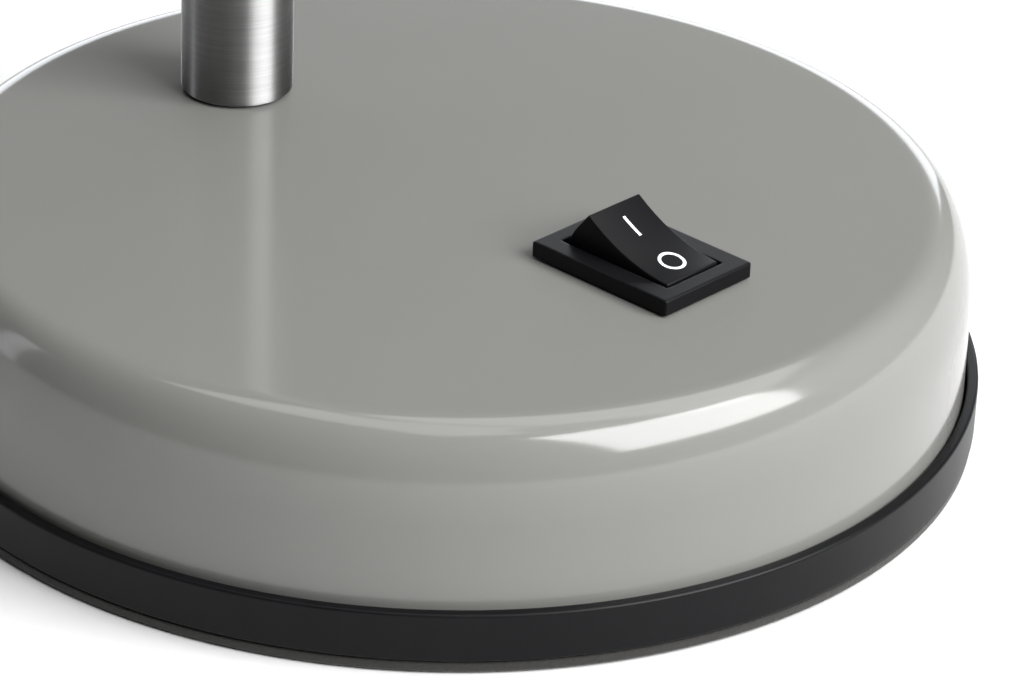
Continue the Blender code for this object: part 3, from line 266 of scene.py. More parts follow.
# ---- meshes --------------------------------------------------------------------------------------
def faces_of(rows, columns, closed):
    """Quads between neighbouring points of a grid that wraps round its columns, and if closed its rows."""
    i = np.arange(rows if closed else rows - 1)[:, None]
    j = np.arange(columns)[None]
    i2, j2 = (i + 1) % rows, (j + 1) % columns
    return np.stack((i * columns + j, i * columns + j2, i2 * columns + j2, i2 * columns + j), -1).reshape(-1, 4)


def smoothed(mesh, sharp):
    """Smooth shading, broken where two faces meet at more than the sharp angle, in degrees."""
    mesh.shade_smooth()
    mesh.set_sharp_from_angle(angle=math.radians(sharp))
    return mesh


def shown_mesh(name, grids, spot=UPRIGHT, closed=False, sharp=SHARP):
    """One mesh from grids of points, each carried to its spot. A grid that isn't closed is capped by one face
    at each end, which vanishes where the end is a single point on the axis."""
    verts, faces, start = [], [], 0
    for grid in grids:
        rows, columns = grid.shape[:2]
        verts.append(grid.reshape(-1, 3))
        faces += (faces_of(rows, columns, closed) + start).tolist()
        if not closed:
            faces.append(list(range(start + columns - 1, start - 1, -1)))
            faces.append(list(range(start + (rows - 1) * columns, start + rows * columns)))
        start += rows * columns
    place = np.array(spot)
    points = np.concatenate(verts) @ place[:3, :3].T + place[:3, 3]
    mesh = bpy.data.meshes.new(name)
    mesh.from_pydata(points.tolist(), [], faces)
    bm = bmesh.new()
    bm.from_mesh(mesh)
    bmesh.ops.remove_doubles(bm, verts=bm.verts, dist=1e-7)
    bmesh.ops.dissolve_degenerate(bm, edges=bm.edges, dist=1e-8)
    bmesh.ops.recalc_face_normals(bm, faces=bm.faces)
    bm.to_mesh(mesh)
    bm.free()
    return smoothed(mesh, sharp)


def add_piece(name, grids, spot, finish, body, node, closed=False, sharp=SHARP):
    """A finished piece from its grids, which rides on a body and stands for one of the frame's plain nodes."""
    mesh = shown_mesh(name, grids, spot, closed, sharp)
    piece = bpy.data.objects.new(name, mesh)
    bpy.context.scene.collection.objects.link(piece)
    mesh.materials.append(FINISHES[finish])
    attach(piece, body)
    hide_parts(node)
    return piece


def bored(piece, cutters):
    """Cuts each cutter's closed mesh out of a piece, and keeps the piece's smooth flanks."""
    for i, cutter_mesh in enumerate(cutters):
        cutter = bpy.data.objects.new(f"{piece.name}_cutter_{i}", cutter_mesh)
        bpy.context.scene.collection.objects.link(cutter)
        modifier = piece.modifiers.new("bore", "BOOLEAN")
        modifier.object = cutter
        modifier.operation = "DIFFERENCE"
        modifier.solver = "EXACT"
    bpy.context.view_layer.update()
    cut = bpy.data.meshes.new_from_object(piece.evaluated_get(bpy.context.evaluated_depsgraph_get()))
    used = [modifier.object for modifier in piece.modifiers]
    piece.modifiers.clear()
    for cutter in used:
        bpy.data.objects.remove(cutter, do_unlink=True)
    piece.data = smoothed(cut, SHARP)
    return piece


def rod(radius, bottom, top, steps=48):
    """A plain rod for boring."""
    return turned(np.array([(0, bottom), (radius, bottom), (radius, top), (0, top)]), steps)


# ---- materials -----------------------------------------------------------------------------------
class Amount:
    """A value in a material. Sums, products and powers of it add Math nodes."""

    def __init__(self, finish, socket):
        self.finish, self.socket = finish, socket

    def _with(self, operation, first, second):
        return self.finish.node("ShaderNodeMath", {"operation": operation}, {0: first, 1: second})

    def __add__(self, other):
        return self._with("ADD", self, other)

    def __radd__(self, other):
        return self._with("ADD", other, self)

    def __sub__(self, other):
        return self._with("SUBTRACT", self, other)

    def __rsub__(self, other):
        return self._with("SUBTRACT", other, self)

    def __mul__(self, other):
        return self._with("MULTIPLY", self, other)

    def __rmul__(self, other):
        return self._with("MULTIPLY", other, self)

    def __truediv__(self, other):
        return self._with("DIVIDE", self, other)

    def __rtruediv__(self, other):
        return self._with("DIVIDE", other, self)

    def __pow__(self, other):
        return self._with("POWER", self, other)


class Finish:
    """A node material under construction, on a piece's own Object coordinates."""

    def __init__(self, name, **constants):
        self.material = bpy.data.materials.new(name)
        self.material.use_nodes = True
        self.tree = self.material.node_tree
        self.shader = self.tree.nodes["Principled BSDF"]
        for socket, value in constants.items():
            self.shader.inputs[socket.replace("_", " ").title().replace("Ior", "IOR")].default_value = value
        self.place = self.node("ShaderNodeTexCoord", output="Object")

    def node(self, kind, settings=None, inputs=None, output=0):
        """Adds a node: its settings first, then the values or links of its sockets; gives one output."""
        made = self.tree.nodes.new(kind)
        for name, value in (settings or {}).items():
            if name == "stops":
                self._stops(made.color_ramp, value)
            else:
                setattr(made, name, value)
        for key, value in (inputs or {}).items():
            if isinstance(value, Amount):
                self.tree.links.new(value.socket, made.inputs[key])
            else:
                made.inputs[key].default_value = value
        return Amount(self, made.outputs[output])

    @staticmethod
    def _stops(ramp, stops):
        while len(ramp.elements) < len(stops):
            ramp.elements.new(0.5)
        for element, (position, level) in zip(ramp.elements, stops):
            element.position = position
            element.color = (level, level, level, 1)

    def feed(self, socket, amount):
        """Links a value, colour or normal to the shader."""
        self.tree.links.new(amount.socket, self.shader.inputs[socket])

    def scaled(self, stretch=(1, 1, 1), turn=(0, 0, 0)):
        """The piece's coordinates, turned and stretched."""
        return self.node("ShaderNodeMapping", {"vector_type": "POINT"},
                         {"Vector": self.place, "Scale": stretch, "Rotation": turn})

    def noise(self, where, scale=1.0, detail=3.0, roughness=0.5):
        """Cloudy values from 0 to 1."""
        return self.node("ShaderNodeTexNoise", {"noise_dimensions": "3D"},
                         {"Vector": where, "Scale": scale, "Detail": detail, "Roughness": roughness})

    def ramp(self, amount, stops):
        """Values remapped through stops of (position, level)."""
        return self.node("ShaderNodeValToRGB", {"stops": stops}, {"Fac": amount})

    def tint(self, amount, first, second):
        """A colour between two, by a value from 0 to 1."""
        return self.node("ShaderNodeMix", {"data_type": "RGBA"},
                         {0: amount, 6: (*first, 1.0), 7: (*second, 1.0)}, output=2)

    def bump(self, heights, strength, distance):
        """Turns heights into a normal and feeds it to the shader."""
        self.feed("Normal", self.node("ShaderNodeBump", None, {
            "Height": heights, "Strength": strength, "Distance": distance}))

    def edges(self, radius):
        """Near 1 along outer edges and 0 elsewhere, from how far a rounded normal leans from the true one."""
        soft = self.node("ShaderNodeBevel", {"samples": 6}, {"Radius": radius})
        true = self.node("ShaderNodeNewGeometry", output="Normal")
        return 1 - self.node("ShaderNodeVectorMath", {"operation": "DOT_PRODUCT"}, {0: soft, 1: true},
                             output="Value")


def shade_of(colour, factor):
    """The colour, lighter or darker."""
    return tuple(min(1.0, c * factor) for c in colour)


def enamel(name, colour, roughness):
    """Stoved gloss paint: a faint orange peel, slow waves in its level, and a breath of dust in its gloss."""
    paint = Finish(name, specular_ior_level=0.42, coat_weight=0.08, coat_roughness=0.05, metallic=0.0)
    peel = paint.noise(paint.scaled(), 650.0, 2.0, 0.45)
    wave = paint.noise(paint.scaled(), 55.0, 2.0, 0.5)
    dust = paint.noise(paint.scaled(), 2600.0, 4.0, 0.7)
    paint.feed("Base Color", paint.tint(wave * 0.6 + dust * 0.4, shade_of(colour, 0.97),
                                        shade_of(colour, 1.03)))
    paint.feed("Roughness", roughness * (0.85 + dust * 0.3))
    paint.bump(peel * 0.5 + wave * 1.6 + dust * 0.05, 0.10, 0.02 * MM)
    return paint.material


def brushed(name, colour, roughness, turn=(0, 0, 0), round_about=True):
    """Steel brushed round its axis: fine rings of scratches in its level, gloss and colour."""
    steel = Finish(name, metallic=1.0, anisotropic=0.99, anisotropic_rotation=0.25)
    along, across = (9000.0, 130.0) if round_about else (130.0, 9000.0)
    fine = steel.noise(steel.scaled((across, across, along), turn), 1.0, 3.0, 0.65)
    coarse = steel.noise(steel.scaled((across * 0.5, across * 0.5, along * 0.28), turn), 1.0, 2.0, 0.6)
    cloud = steel.noise(steel.scaled(), 240.0, 3.0, 0.6)
    lines = fine * 0.6 + coarse * 0.4
    steel.feed("Base Color", steel.tint(steel.ramp(lines, [(0.3, 0.0), (0.7, 1.0)]),
                                        shade_of(colour, 0.78), shade_of(colour, 1.14)))
    steel.feed("Roughness", roughness * (0.75 + lines * 0.35 + cloud * 0.2))
    steel.bump(lines, 0.35, 0.02 * MM)
    return steel.material


def moulded(name, colour, roughness, grain=0.25, grain_scale=2600.0, wear=0.06):
    """Moulded plastic or rubber: a fine spark-eroded grain, cloudy gloss, and edges rubbed a little paler."""
    plastic = Finish(name, specular_ior_level=0.14, metallic=0.0)
    speck = plastic.noise(plastic.scaled(), grain_scale, 3.0, 0.6)
    cloud = plastic.noise(plastic.scaled(), 180.0, 3.0, 0.55)
    rub = plastic.edges(0.35 * MM)
    tone = cloud * 0.5 + speck * 0.3 + rub * 1.4
    worn = tuple(c + wear * 0.5 for c in colour)
    plastic.feed("Base Color", plastic.tint(tone, shade_of(colour, 0.85), worn))
    plastic.feed("Roughness", roughness * (0.9 + speck * 0.15 + cloud * 0.1))
    plastic.bump(speck, grain, 0.03 * MM)
    return plastic.material


def plated(name, colour, roughness, blotch=0.12):
    """Plated or bare metal: cloudy passivation, fine pitting, and brighter rubbed edges."""
    metal = Finish(name, metallic=1.0)
    cloud = metal.noise(metal.scaled(), 320.0, 4.0, 0.6)
    pits = metal.noise(metal.scaled(), 3200.0, 3.0, 0.7)
    rub = metal.edges(0.3 * MM)
    metal.feed("Base Color", metal.tint(cloud * 0.7 + pits * 0.3, shade_of(colour, 1 - blotch),
                                        shade_of(colour, 1 + blotch)))
    metal.feed("Roughness", roughness * (0.8 + cloud * 0.3 + pits * 0.2 - rub * 0.8))
    metal.bump(pits, 0.25, 0.02 * MM)
    return metal.material


def cast(name, colour):
    """Sand-cast iron under a thin black dip: coarse grains, with rust where the dip is thin."""
    iron = Finish(name, metallic=0.4)
    grains = iron.noise(iron.scaled(), 1300.0, 5.0, 0.7)
    thin = iron.noise(iron.scaled(), 120.0, 4.0, 0.6)
    iron.feed("Base Color", iron.tint(iron.ramp(thin, [(0.55, 0.0), (0.75, 1.0)]), colour, (0.16, 0.07, 0.035)))
    iron.feed("Roughness", 0.6 + grains * 0.35)
    iron.bump(grains, 0.7, 0.12 * MM)
    return iron.material


def foam(name, colour):
    """Closed-cell foam: small round cells, with painted shade darkening their pits."""
    pad = Finish(name, specular_ior_level=0.3, sheen_weight=0.25, sheen_roughness=0.5)
    cells = pad.node("ShaderNodeTexVoronoi", {"feature": "F1", "voronoi_dimensions": "3D"},
                     {"Vector": pad.scaled(), "Scale": 2400.0}, output="Distance")
    cloud = pad.noise(pad.scaled(), 150.0, 3.0, 0.5)
    # painted shade: the colour darkens towards each cell's centre, in its pit; the same cells also drive the
    # bump
    pad.feed("Base Color", pad.tint(cells * 0.8 + cloud * 0.4, shade_of(colour, 0.7), shade_of(colour, 1.35)))
    pad.feed("Roughness", 0.78 + cloud * 0.15)
    pad.bump(cells, 0.5, 0.08 * MM)
    return pad.material


def sleeved(name, colour):
    """Drawn insulation on a lead: faint lengthwise streaks and a waxy sheen."""
    sleeve = Finish(name, specular_ior_level=0.45, sheen_weight=0.1)
    streak = sleeve.noise(sleeve.scaled((1500, 1500, 140)), 1.0, 3.0, 0.6)
    sleeve.feed("Base Color", sleeve.tint(streak, shade_of(colour, 0.8), shade_of(colour, 1.25)))
    sleeve.feed("Roughness", 0.38 + streak * 0.2)
    sleeve.bump(streak, 0.2, 0.02 * MM)
    return sleeve.material


def opal(name, colour):
    """Opal glass, white all through, with light under its polished skin and a slow unevenness."""
    glass = Finish(name, coat_weight=0.6, coat_roughness=0.03, subsurface_weight=0.35,
                   subsurface_radius=(0.004, 0.004, 0.0035), subsurface_scale=1.0)
    milk = glass.noise(glass.scaled(), 70.0, 3.0, 0.5)
    glass.feed("Base Color", glass.tint(milk, shade_of(colour, 0.95), colour))
    glass.feed("Roughness", 0.14 + milk * 0.08)
    glass.bump(milk, 0.08, 0.1 * MM)
    return glass.material


def printed(name):
    """Pad-printed white ink: a little thin and speckled."""
    ink = Finish(name, specular_ior_level=0.4)
    speck = ink.noise(ink.scaled(), 4200.0, 3.0, 0.6)
    ink.feed("Base Color", ink.tint(speck, (0.78, 0.80, 0.84), (0.92, 0.93, 0.95)))
    ink.feed("Roughness", 0.42 + speck * 0.15)
    ink.bump(speck, 0.1, 0.01 * MM)
    return ink.material


def make_finishes():
    """Every material of the lamp, by a short name."""
    wish = bpy.context.scene.lamp_finishes
    colour = tuple(wish.enamel)
    steel = tuple(wish.steel)
    black = tuple(wish.plastic)
    return {
        "enamel": enamel("grey_enamel_paint", colour, wish.enamel_roughness),
        "white": enamel("white_reflector_paint", tuple(wish.shade_inside), 0.3),
        "stem_steel": brushed("stem_brushed_steel", steel, wish.steel_roughness),
        "arm_steel": brushed("arm_brushed_steel", steel, wish.steel_roughness,
                             (math.pi / 2 + ARM_RISE, 0, 0)),
        "bolt_steel": brushed("knuckle_brushed_steel", steel, wish.steel_roughness, (0, math.pi / 2, 0)),
        "zinc": plated("zinc_plating", (0.60, 0.61, 0.63), 0.36),
        "brass": plated("stamped_brass", (0.74, 0.53, 0.24), 0.32),
        "iron": cast("dipped_cast_iron", (0.045, 0.045, 0.048)),
        "rim": moulded("rim_black_plastic", black, 0.36, 0.12, 2600.0, 0.012),
        "switch": moulded("switch_black_plastic", black, 0.42, 0.22, 3600.0, 0.004),
        "knob": moulded("knob_black_plastic", black, 0.42, 0.3),
        "nylon": moulded("black_nylon", (0.03, 0.03, 0.032), 0.5, 0.15),
        "rubber": moulded("grommet_rubber", (0.010, 0.010, 0.010), 0.68, 0.4, 1800.0, 0.03),
        "block": moulded("connector_ivory_plastic", (0.78, 0.76, 0.70), 0.45, 0.15, 2600.0, 0.1),
        "foam": foam("foot_foam_cells", (0.020, 0.0195, 0.018)),
        "brown": sleeved("brown_lead_sleeve", (0.17, 0.07, 0.035)),
        "blue": sleeved("blue_lead_sleeve", (0.03, 0.11, 0.42)),
        "opal": opal("opal_bulb_glass", (0.90, 0.89, 0.86)),
        "ink": printed("white_switch_ink"),
    }


FINISHES = {}


# ---- base ----------------------------------------------------------------------------------------
def cover_outline(shape):
    """The cover's outer side, from its foot up: a straight wall that leans in by the frame's taper, then a
    shoulder where (x / width)^softness + (z / height)^2 = 1, which leaves the flat top without a break."""
    wall = COVER_RADIUS - 0.15 * MM
    start = wall - shape.shoulder_width
    s = np.sin(np.radians(np.linspace(90, 0, 65))) ** (2 / shape.shoulder_softness)
    rise = np.sqrt(np.clip(1 - s ** shape.shoulder_softness, 0, 1))
    shoulder = np.stack((start + shape.shoulder_width * s,
                         BASE_TOP - shape.shoulder_height * (1 - rise)), 1)
    side = filled(np.array([(COVER_RADIUS, low("base_cover").z), shoulder[0]]), 1.0 * MM)
    top = filled(np.array([(start, BASE_TOP), (0, BASE_TOP)]), 8 * MM)
    return np.concatenate((side[:-1], shoulder[:-1], top))


def make_cover(shape):
    """The pressed cover: the outer side and a quarter ellipse one wall inside it, bored for the stem's nipple,
    the switch and the lead."""
    wall = 1.0 * MM
    outer = cover_outline(shape)
    inside = COVER_RADIUS - wall
    width, height = 3.6 * MM + wall, shape.shoulder_height - wall
    inner = quarter((inside - width, BASE_TOP - shape.shoulder_height), (width, height), 0, 90, 12)
    inner[:, 1] = np.minimum(inner[:, 1], BASE_TOP - wall)
    inner = np.concatenate(([(inside, low("base_cover").z)], inner, [(0, BASE_TOP - wall)]))
    outline = np.concatenate((inner[::-1], outer))
    piece = add_piece("cover_shell", [turned(outline, FINE_STEPS)], UPRIGHT, "enamel", "base", "base_cover")
    deep = 6 * MM
    well = box_loops([(TUB_X + SEAT_GAP, TUB_Y + SEAT_GAP, 0.4 * MM, z)
                      for z in (BASE_TOP - deep, BEZEL_TOP)], 3)
    nipple = rod(high("stem_nipple").x + HOLE_GAP, BASE_TOP - deep, BASE_TOP + deep)
    inlet = rod(GROMMET_NECK + HOLE_GAP, -deep, deep)
    return bored(piece, [
        shown_mesh("switch_bore", [well], SWITCH_SPOT),
        shown_mesh("nipple_bore", [nipple], STEM_SPOT),
        shown_mesh("inlet_bore", [inlet], Matrix.Translation((0, COVER_RADIUS, INLET_HEIGHT)) @ TO_BACK),
    ])


def make_rim():
    """The black tray: a floor with a raised boss, and a rim that stands round the cover's foot."""
    floor, bottom, boss = 2.4 * MM, low("base_tray").z, high("base_tray").z
    top = bottom + floor
    boss_top, boss_radius, bore = top + 3.6 * MM, 9.5 * MM, 2.9 * MM
    rim_inside = COVER_RADIUS + SEAT_GAP
    corners = [(bore, boss_top - floor), (boss_radius - floor, boss_top - floor), (boss_radius - floor, bottom),
               (RIM_RADIUS, bottom), (RIM_RADIUS, boss), (rim_inside, boss), (rim_inside, top),
               (boss_radius, top), (boss_radius, boss_top), (bore, boss_top)]
    fillets = [0, 0.5 * MM, 0, 0.25 * MM, 0.4 * MM, 0.25 * MM, 0, 0.6 * MM, 0.5 * MM, 0]
    outline = filled(rounded(corners, fillets, True), 6 * MM, True)
    piece = add_piece("black_rim_tray", [turned(outline, FINE_STEPS)], UPRIGHT, "rim", "base", "base_tray",
                      closed=True)
    seats = []
    for i in range(1, 5):
        lo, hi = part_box(f"tray_screw_{i}")
        spot = Matrix.Translation(((lo.x + hi.x) / 2, (lo.y + hi.y) / 2, 0))
        head, shank, step = (hi.x - lo.x) / 2 + HOLE_GAP, 2.2 * MM, lo.z + 1.4 * MM
        under, over = bottom - 1 * MM, top + 1 * MM
        seat = np.array([(0, under), (head, under), (head, step), (shank, step), (shank, over), (0, over)])
        seats.append(shown_mesh(f"screw_seat_{i}", [turned(seat, 32)], spot))
    return bored(piece, seats)


def make_foot_pad():
    """The foam disc under the tray, with a soft edge and shallow rings pressed in its underside."""
    hi = high("foot_pad")
    r = np.linspace(0, hi.x - 0.5 * MM, 140)
    groove = 0.12 * MM * (0.5 - 0.5 * np.cos(r / (4 * MM) * math.tau)) * (r < hi.x - 3 * MM)
    under = np.stack((r, groove), 1)
    edge = rounded([(hi.x - 0.5 * MM, 0), (hi.x, 0), (hi.x, hi.z), (0, hi.z)], [0, 0.35 * MM, 0.2 * MM, 0])
    return add_piece("foot_pad_foam", [turned(np.concatenate((under, edge[1:])), 192)], UPRIGHT, "foam",
                     "base", "foot_pad")


def make_grommet():
    """The rubber inlet: two flanges with soft edges on a neck, and a flared bore."""
    lo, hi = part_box("cable_grommet")
    flange, neck, bore, thick = (hi.x - lo.x) / 2, GROMMET_NECK, 3.2 * MM, 1.5 * MM
    corners = [(bore, lo.y), (flange, lo.y), (flange, lo.y + thick), (neck, lo.y + thick),
               (neck, hi.y - thick), (flange, hi.y - thick), (flange - 0.3 * MM, hi.y), (bore, hi.y)]
    fillets = [0.5 * MM, 0.5 * MM, 0.4 * MM, 0.1 * MM, 0.1 * MM, 0.4 * MM, 0.6 * MM, 0.6 * MM]
    outline = filled(rounded(corners, fillets, True), 1 * MM, True)
    return add_piece("inlet_grommet", [turned(outline, 96)],
                     Matrix.Translation((0, 0, INLET_HEIGHT)) @ TO_BACK, "rubber", "base", "cable_grommet",
                     closed=True)


# ---- switch --------------------------------------------------------------------------------------
def make_switch_housing():
    """The switch's frame: a loft of rounded rectangles from the tub's underside out to the bezel, over its soft
    edges and down the well to its floor."""
    lo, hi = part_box("switch_housing")
    bezel_x, bezel_y = (hi.x - lo.x) / 2, (hi.y - lo.y) / 2
    bezel_low, top, bottom = BASE_TOP + SEAT_GAP, hi.z, lo.z
    well_x, well_y = 4.75 * MM, 8.25 * MM
    edge, t = 0.28 * MM, np.linspace(0, math.pi / 2, 5)
    levels = [(TUB_X - 0.5 * MM, TUB_Y - 0.5 * MM, 0.3 * MM, bottom),
              (TUB_X, TUB_Y, 0.5 * MM, bottom + 0.5 * MM), (TUB_X, TUB_Y, 0.5 * MM, bezel_low),
              (bezel_x - 0.05 * MM, bezel_y - 0.05 * MM, 0.35 * MM, bezel_low),
              (bezel_x, bezel_y, 0.4 * MM, bezel_low + 0.06 * MM),
              (bezel_x, bezel_y, 0.4 * MM, top - edge - 0.05 * MM)]
    levels += [(bezel_x - edge * (1 - math.cos(a)), bezel_y - edge * (1 - math.cos(a)),
                0.4 * MM - edge * 0.6 * (1 - math.cos(a)), top - edge * (1 - math.sin(a))) for a in t]
    levels += [(bezel_x - 0.45 * MM, bezel_y - 0.45 * MM, 0.3 * MM, top),
               (well_x + 0.35 * MM, well_y + 0.35 * MM, 0.35 * MM, top)]
    lip = 0.15 * MM
    levels += [(well_x + lip * (1 - math.sin(a)), well_y + lip * (1 - math.sin(a)), 0.25 * MM,
                top - lip * (1 - math.cos(a))) for a in t]
    levels += [(well_x, well_y, 0.25 * MM, top - 0.4 * MM), (well_x, well_y, 0.25 * MM, bottom + 1.5 * MM)]
    piece = add_piece("switch_frame", [box_loops(levels)], SWITCH_SPOT, "switch", "base", "switch_housing")
    slots = []
    for i in (1, 2):
        lo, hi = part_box(f"switch_terminal_{i}")
        size = ((hi.x - lo.x) / 2 + HOLE_GAP, (hi.y - lo.y) / 2 + HOLE_GAP, 0.1 * MM)
        slot = box_loops([(*size, bottom - 1 * MM), (*size, bottom + 2.5 * MM)], 2)
        spot = Matrix.Translation(((lo.x + hi.x) / 2, (lo.y + hi.y) / 2, 0))
        slots.append(shown_mesh(f"terminal_slot_{i}", [slot], spot))
    return bored(piece, slots)


PADDLE = {"reach": 7.9 * MM, "width": 8.8 * MM, "rise": 5.0 * MM, "dish": 0.95 * MM, "skirt": 1.5 * MM}
PADDLE_HALF = (PADDLE["reach"] - PADDLE["rise"] * math.sin(ROCKER_TILT)) / math.cos(ROCKER_TILT)


def paddle_top(y):
    """Height of the paddle's dished top at a distance y along it: rise - dish * (1 - (y / half)^2)."""
    return PADDLE["rise"] - PADDLE["dish"] * (1 - (y / PADDLE_HALF) ** 2)


def make_paddle():
    """The rocker's paddle: its side outline carried across between two flat flanks with soft edges. The outline
    is the dished top, ends that stand upright when pressed, an arc about the pivot that clears the well, and a
    flat underside."""
    reach, half = PADDLE["reach"], PADDLE_HALF
    y = np.linspace(half - 0.6 * MM, 0.6 * MM - half, 41)
    top = np.stack((y, paddle_top(y)), 1)
    a = ROCKER_TILT * np.linspace(-1 / 3, 1, 9)
    arc = reach * np.stack((np.cos(a), np.sin(a)), 1)
    end = np.concatenate(([(0.8 * reach, -PADDLE["skirt"])], arc, [(half, PADDLE["rise"])]))
    soft = [0.4 * MM, 0.2 * MM] + [0] * 7 + [0.3 * MM, 0.2 * MM]
    outline = rounded(np.concatenate((end, top, (end * [-1, 1])[::-1])), soft + [0] * 41 + soft[::-1], True)
    outline = filled(outline, 0.8 * MM, True)
    return add_piece("rocker_paddle", [slab(outline, PADDLE["width"] / 2, 0.18 * MM)], ROCKER_SPOT, "switch",
                     "rocker", "switch_rocker", sharp=50)


def ink_strip(x, y):
    """A closed printed film over the paddle's top: each loop of the grid is one section, raised a film's
    thickness above the dished top at its outside and sunk as far below it on its way back."""
    film = 0.03 * MM
    lift = paddle_top(y)
    return np.stack((x, y, lift + film), -1), np.stack((x, y, lift - film), -1)


def make_marks(shape):
    """The generic on and off marks: a bar and a ring of one line's width, following the dished top."""
    line = shape.mark_line
    s = np.linspace(0, 1, 15)[:, None]
    bar_y = 1.7 * MM + 3.1 * MM * s
    x = np.array([[-0.5, 0.5]]) * line + 0 * s
    above, below = ink_strip(x, bar_y + 0 * x)
    bar = np.concatenate((above, below[:, ::-1]), 1)
    a = np.linspace(0, math.tau, 73)[:-1, None]
    reach = 1.48 * MM + np.array([[-0.5, 0.5]]) * line
    above, below = ink_strip(reach * np.cos(a), -3.45 * MM + reach * np.sin(a))
    ring = np.concatenate((above, below[:, ::-1]), 1)
    bar_mesh = shown_mesh("on_mark", [bar], ROCKER_SPOT, sharp=60)
    ring_mesh = shown_mesh("off_mark", [ring], ROCKER_SPOT, closed=True, sharp=60)
    for name, mesh in (("on_mark", bar_mesh), ("off_mark", ring_mesh)):
        piece = bpy.data.objects.new(name, mesh)
        bpy.context.scene.collection.objects.link(piece)
        mesh.materials.append(FINISHES["ink"])
        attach(piece, "rocker")


# ---- stem and knuckles ---------------------------------------------------------------------------
def tube_rings(outer, inner, bottom, top, edge):
    """The closed outline of a tube with soft ends, long walls divided so that they shade evenly."""
    corners = [(inner, bottom), (outer, bottom), (outer, top), (inner, top)]
    return filled(rounded(corners, [edge * 0.5, edge, edge, edge * 0.5], True), 12 * MM, True)


def make_stem():
    """The stem's tube, its ends turned round, and the nylon bush that the swivel stands on."""
    lo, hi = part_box("stem_tube")
    tube = tube_rings(STEM_RADIUS, STEM_RADIUS - 1 * MM, lo.z, hi.z, 0.45 * MM)
    add_piece("steel_stem", [turned(tube, 160)], STEM_SPOT, "stem_steel", "base", "stem_tube", closed=True)
    lo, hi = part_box("stem_bush")
    bore, sleeve, flange = 4.45 * MM, 5.7 * MM, 1.6 * MM
    corners = [(bore, lo.z), (sleeve, lo.z), (sleeve, hi.z - flange), (STEM_RADIUS, hi.z - flange),
               (STEM_RADIUS, hi.z), (bore, hi.z)]
    fillets = [0.3 * MM, 0.3 * MM, 0, 0.3 * MM, 0.4 * MM, 0.3 * MM]
    outline = filled(rounded(corners, fillets, True), 3 * MM, True)
    add_piece("swivel_bush", [turned(outline, 96)], STEM_SPOT, "nylon", "base", "stem_bush", closed=True)


CHEEK_INNER, CHEEK_OUTER = 4.8 * MM, 8.0 * MM
FORK_RADIUS, FORK_ROOT = 9.5 * MM, 9.5 * MM
EYE_RADIUS, EYE_HALF = 8.0 * MM, 3.5 * MM
ARM_RADIUS, TUBE_START = 5.5 * MM, 13.0 * MM
NECK_RADIUS = 4.3 * MM
SHANK_RADIUS = 3.2 * MM


def across(grid):
    """A turned grid laid along X."""
    return grid @ np.array(TO_X)[:3, :3].T


def make_swivel():
    """The swivel's fork: a turned foot and two cheeks that are slices of a ball on a cylinder."""
    height = ARM_AT.z - FORK_FOOT
    step, bore = 3.0 * MM, 4.6 * MM
    corners = [(0, step), (bore, step), (bore, 0), (STEM_RADIUS, 0), (FORK_RADIUS, step),
               (FORK_RADIUS, height - FORK_ROOT), (0, height - FORK_ROOT)]
    foot = rounded(corners, [0, 0, 0, 0.3 * MM, 1.2 * MM, 0.5 * MM, 0])
    foot = turned(filled(foot, 2 * MM), 128)
    lift = np.array([0, 0, height])
    cheeks = [cheek(CHEEK_INNER, CHEEK_OUTER, FORK_RADIUS, FORK_ROOT + 1.5 * MM, side=side) + lift
              for side in (-1, 1)]
    add_piece("swivel_fork_body", [foot, *cheeks], SWIVEL_SPOT, "stem_steel", "swivel", "swivel_fork")


def eye_grids(shank):
    """An eye's disc laid across, and its turned shank along +Z."""
    disc = rounded([(0, -EYE_HALF), (EYE_RADIUS, -EYE_HALF), (EYE_RADIUS, EYE_HALF), (0, EYE_HALF)],
                   [0, 0.6 * MM, 0.6 * MM, 0])
    return across(turned(filled(disc, 2 * MM), 96)), turned(shank, 96)


def make_arm():
    """The arm: its eye at the stem, the long tube, and the fork that holds the head."""
    end = ARM_REACH.length - TUBE_START
    stop = TUBE_START - SEAT_GAP
    tip = [(NECK_RADIUS, stop), (NECK_RADIUS, TUBE_START + SPIGOT), (0, TUBE_START + SPIGOT)]
    corners = [(0, 4 * MM), (SHANK_RADIUS, 4 * MM), (SHANK_RADIUS, TUBE_START - 3 * MM),
               (ARM_RADIUS, TUBE_START - 2.3 * MM), (ARM_RADIUS, stop), *tip]
    fillets = [0, 0, 0.4 * MM, 0.5 * MM, 0.2 * MM, 0, 0.4 * MM, 0]
    disc, stalk = eye_grids(filled(rounded(corners, fillets), 3 * MM))
    stalk = stalk @ np.array(TO_FRONT)[:3, :3].T
    add_piece("arm_eye_body", [disc, stalk], ARM_SPOT, "bolt_steel", "arm", "arm_eye")
    tube = tube_rings(ARM_RADIUS, ARM_RADIUS - 0.9 * MM, TUBE_START, end, 0.3 * MM)
    add_piece("steel_arm_tube", [turned(tube, 128)], ARM_SPOT @ TO_FRONT, "arm_steel", "arm", "arm_tube",
              closed=True)
    corners = [(0, FORK_ROOT), (FORK_RADIUS, FORK_ROOT), (ARM_RADIUS, stop), *tip]
    neck = filled(rounded(corners, [0, 0.5 * MM, 0.3 * MM, 0, 0.4 * MM, 0]), 2 * MM)
    cheeks = [cheek(CHEEK_INNER, CHEEK_OUTER, FORK_RADIUS, FORK_ROOT + 0.6 * MM, side=side) * [1, 1, -1]
              for side in (-1, 1)]
    add_piece("arm_fork_body", [turned(neck, 128), *cheeks], HEAD_FORK_SPOT @ TO_BACK, "arm_steel", "arm",
              "arm_fork")


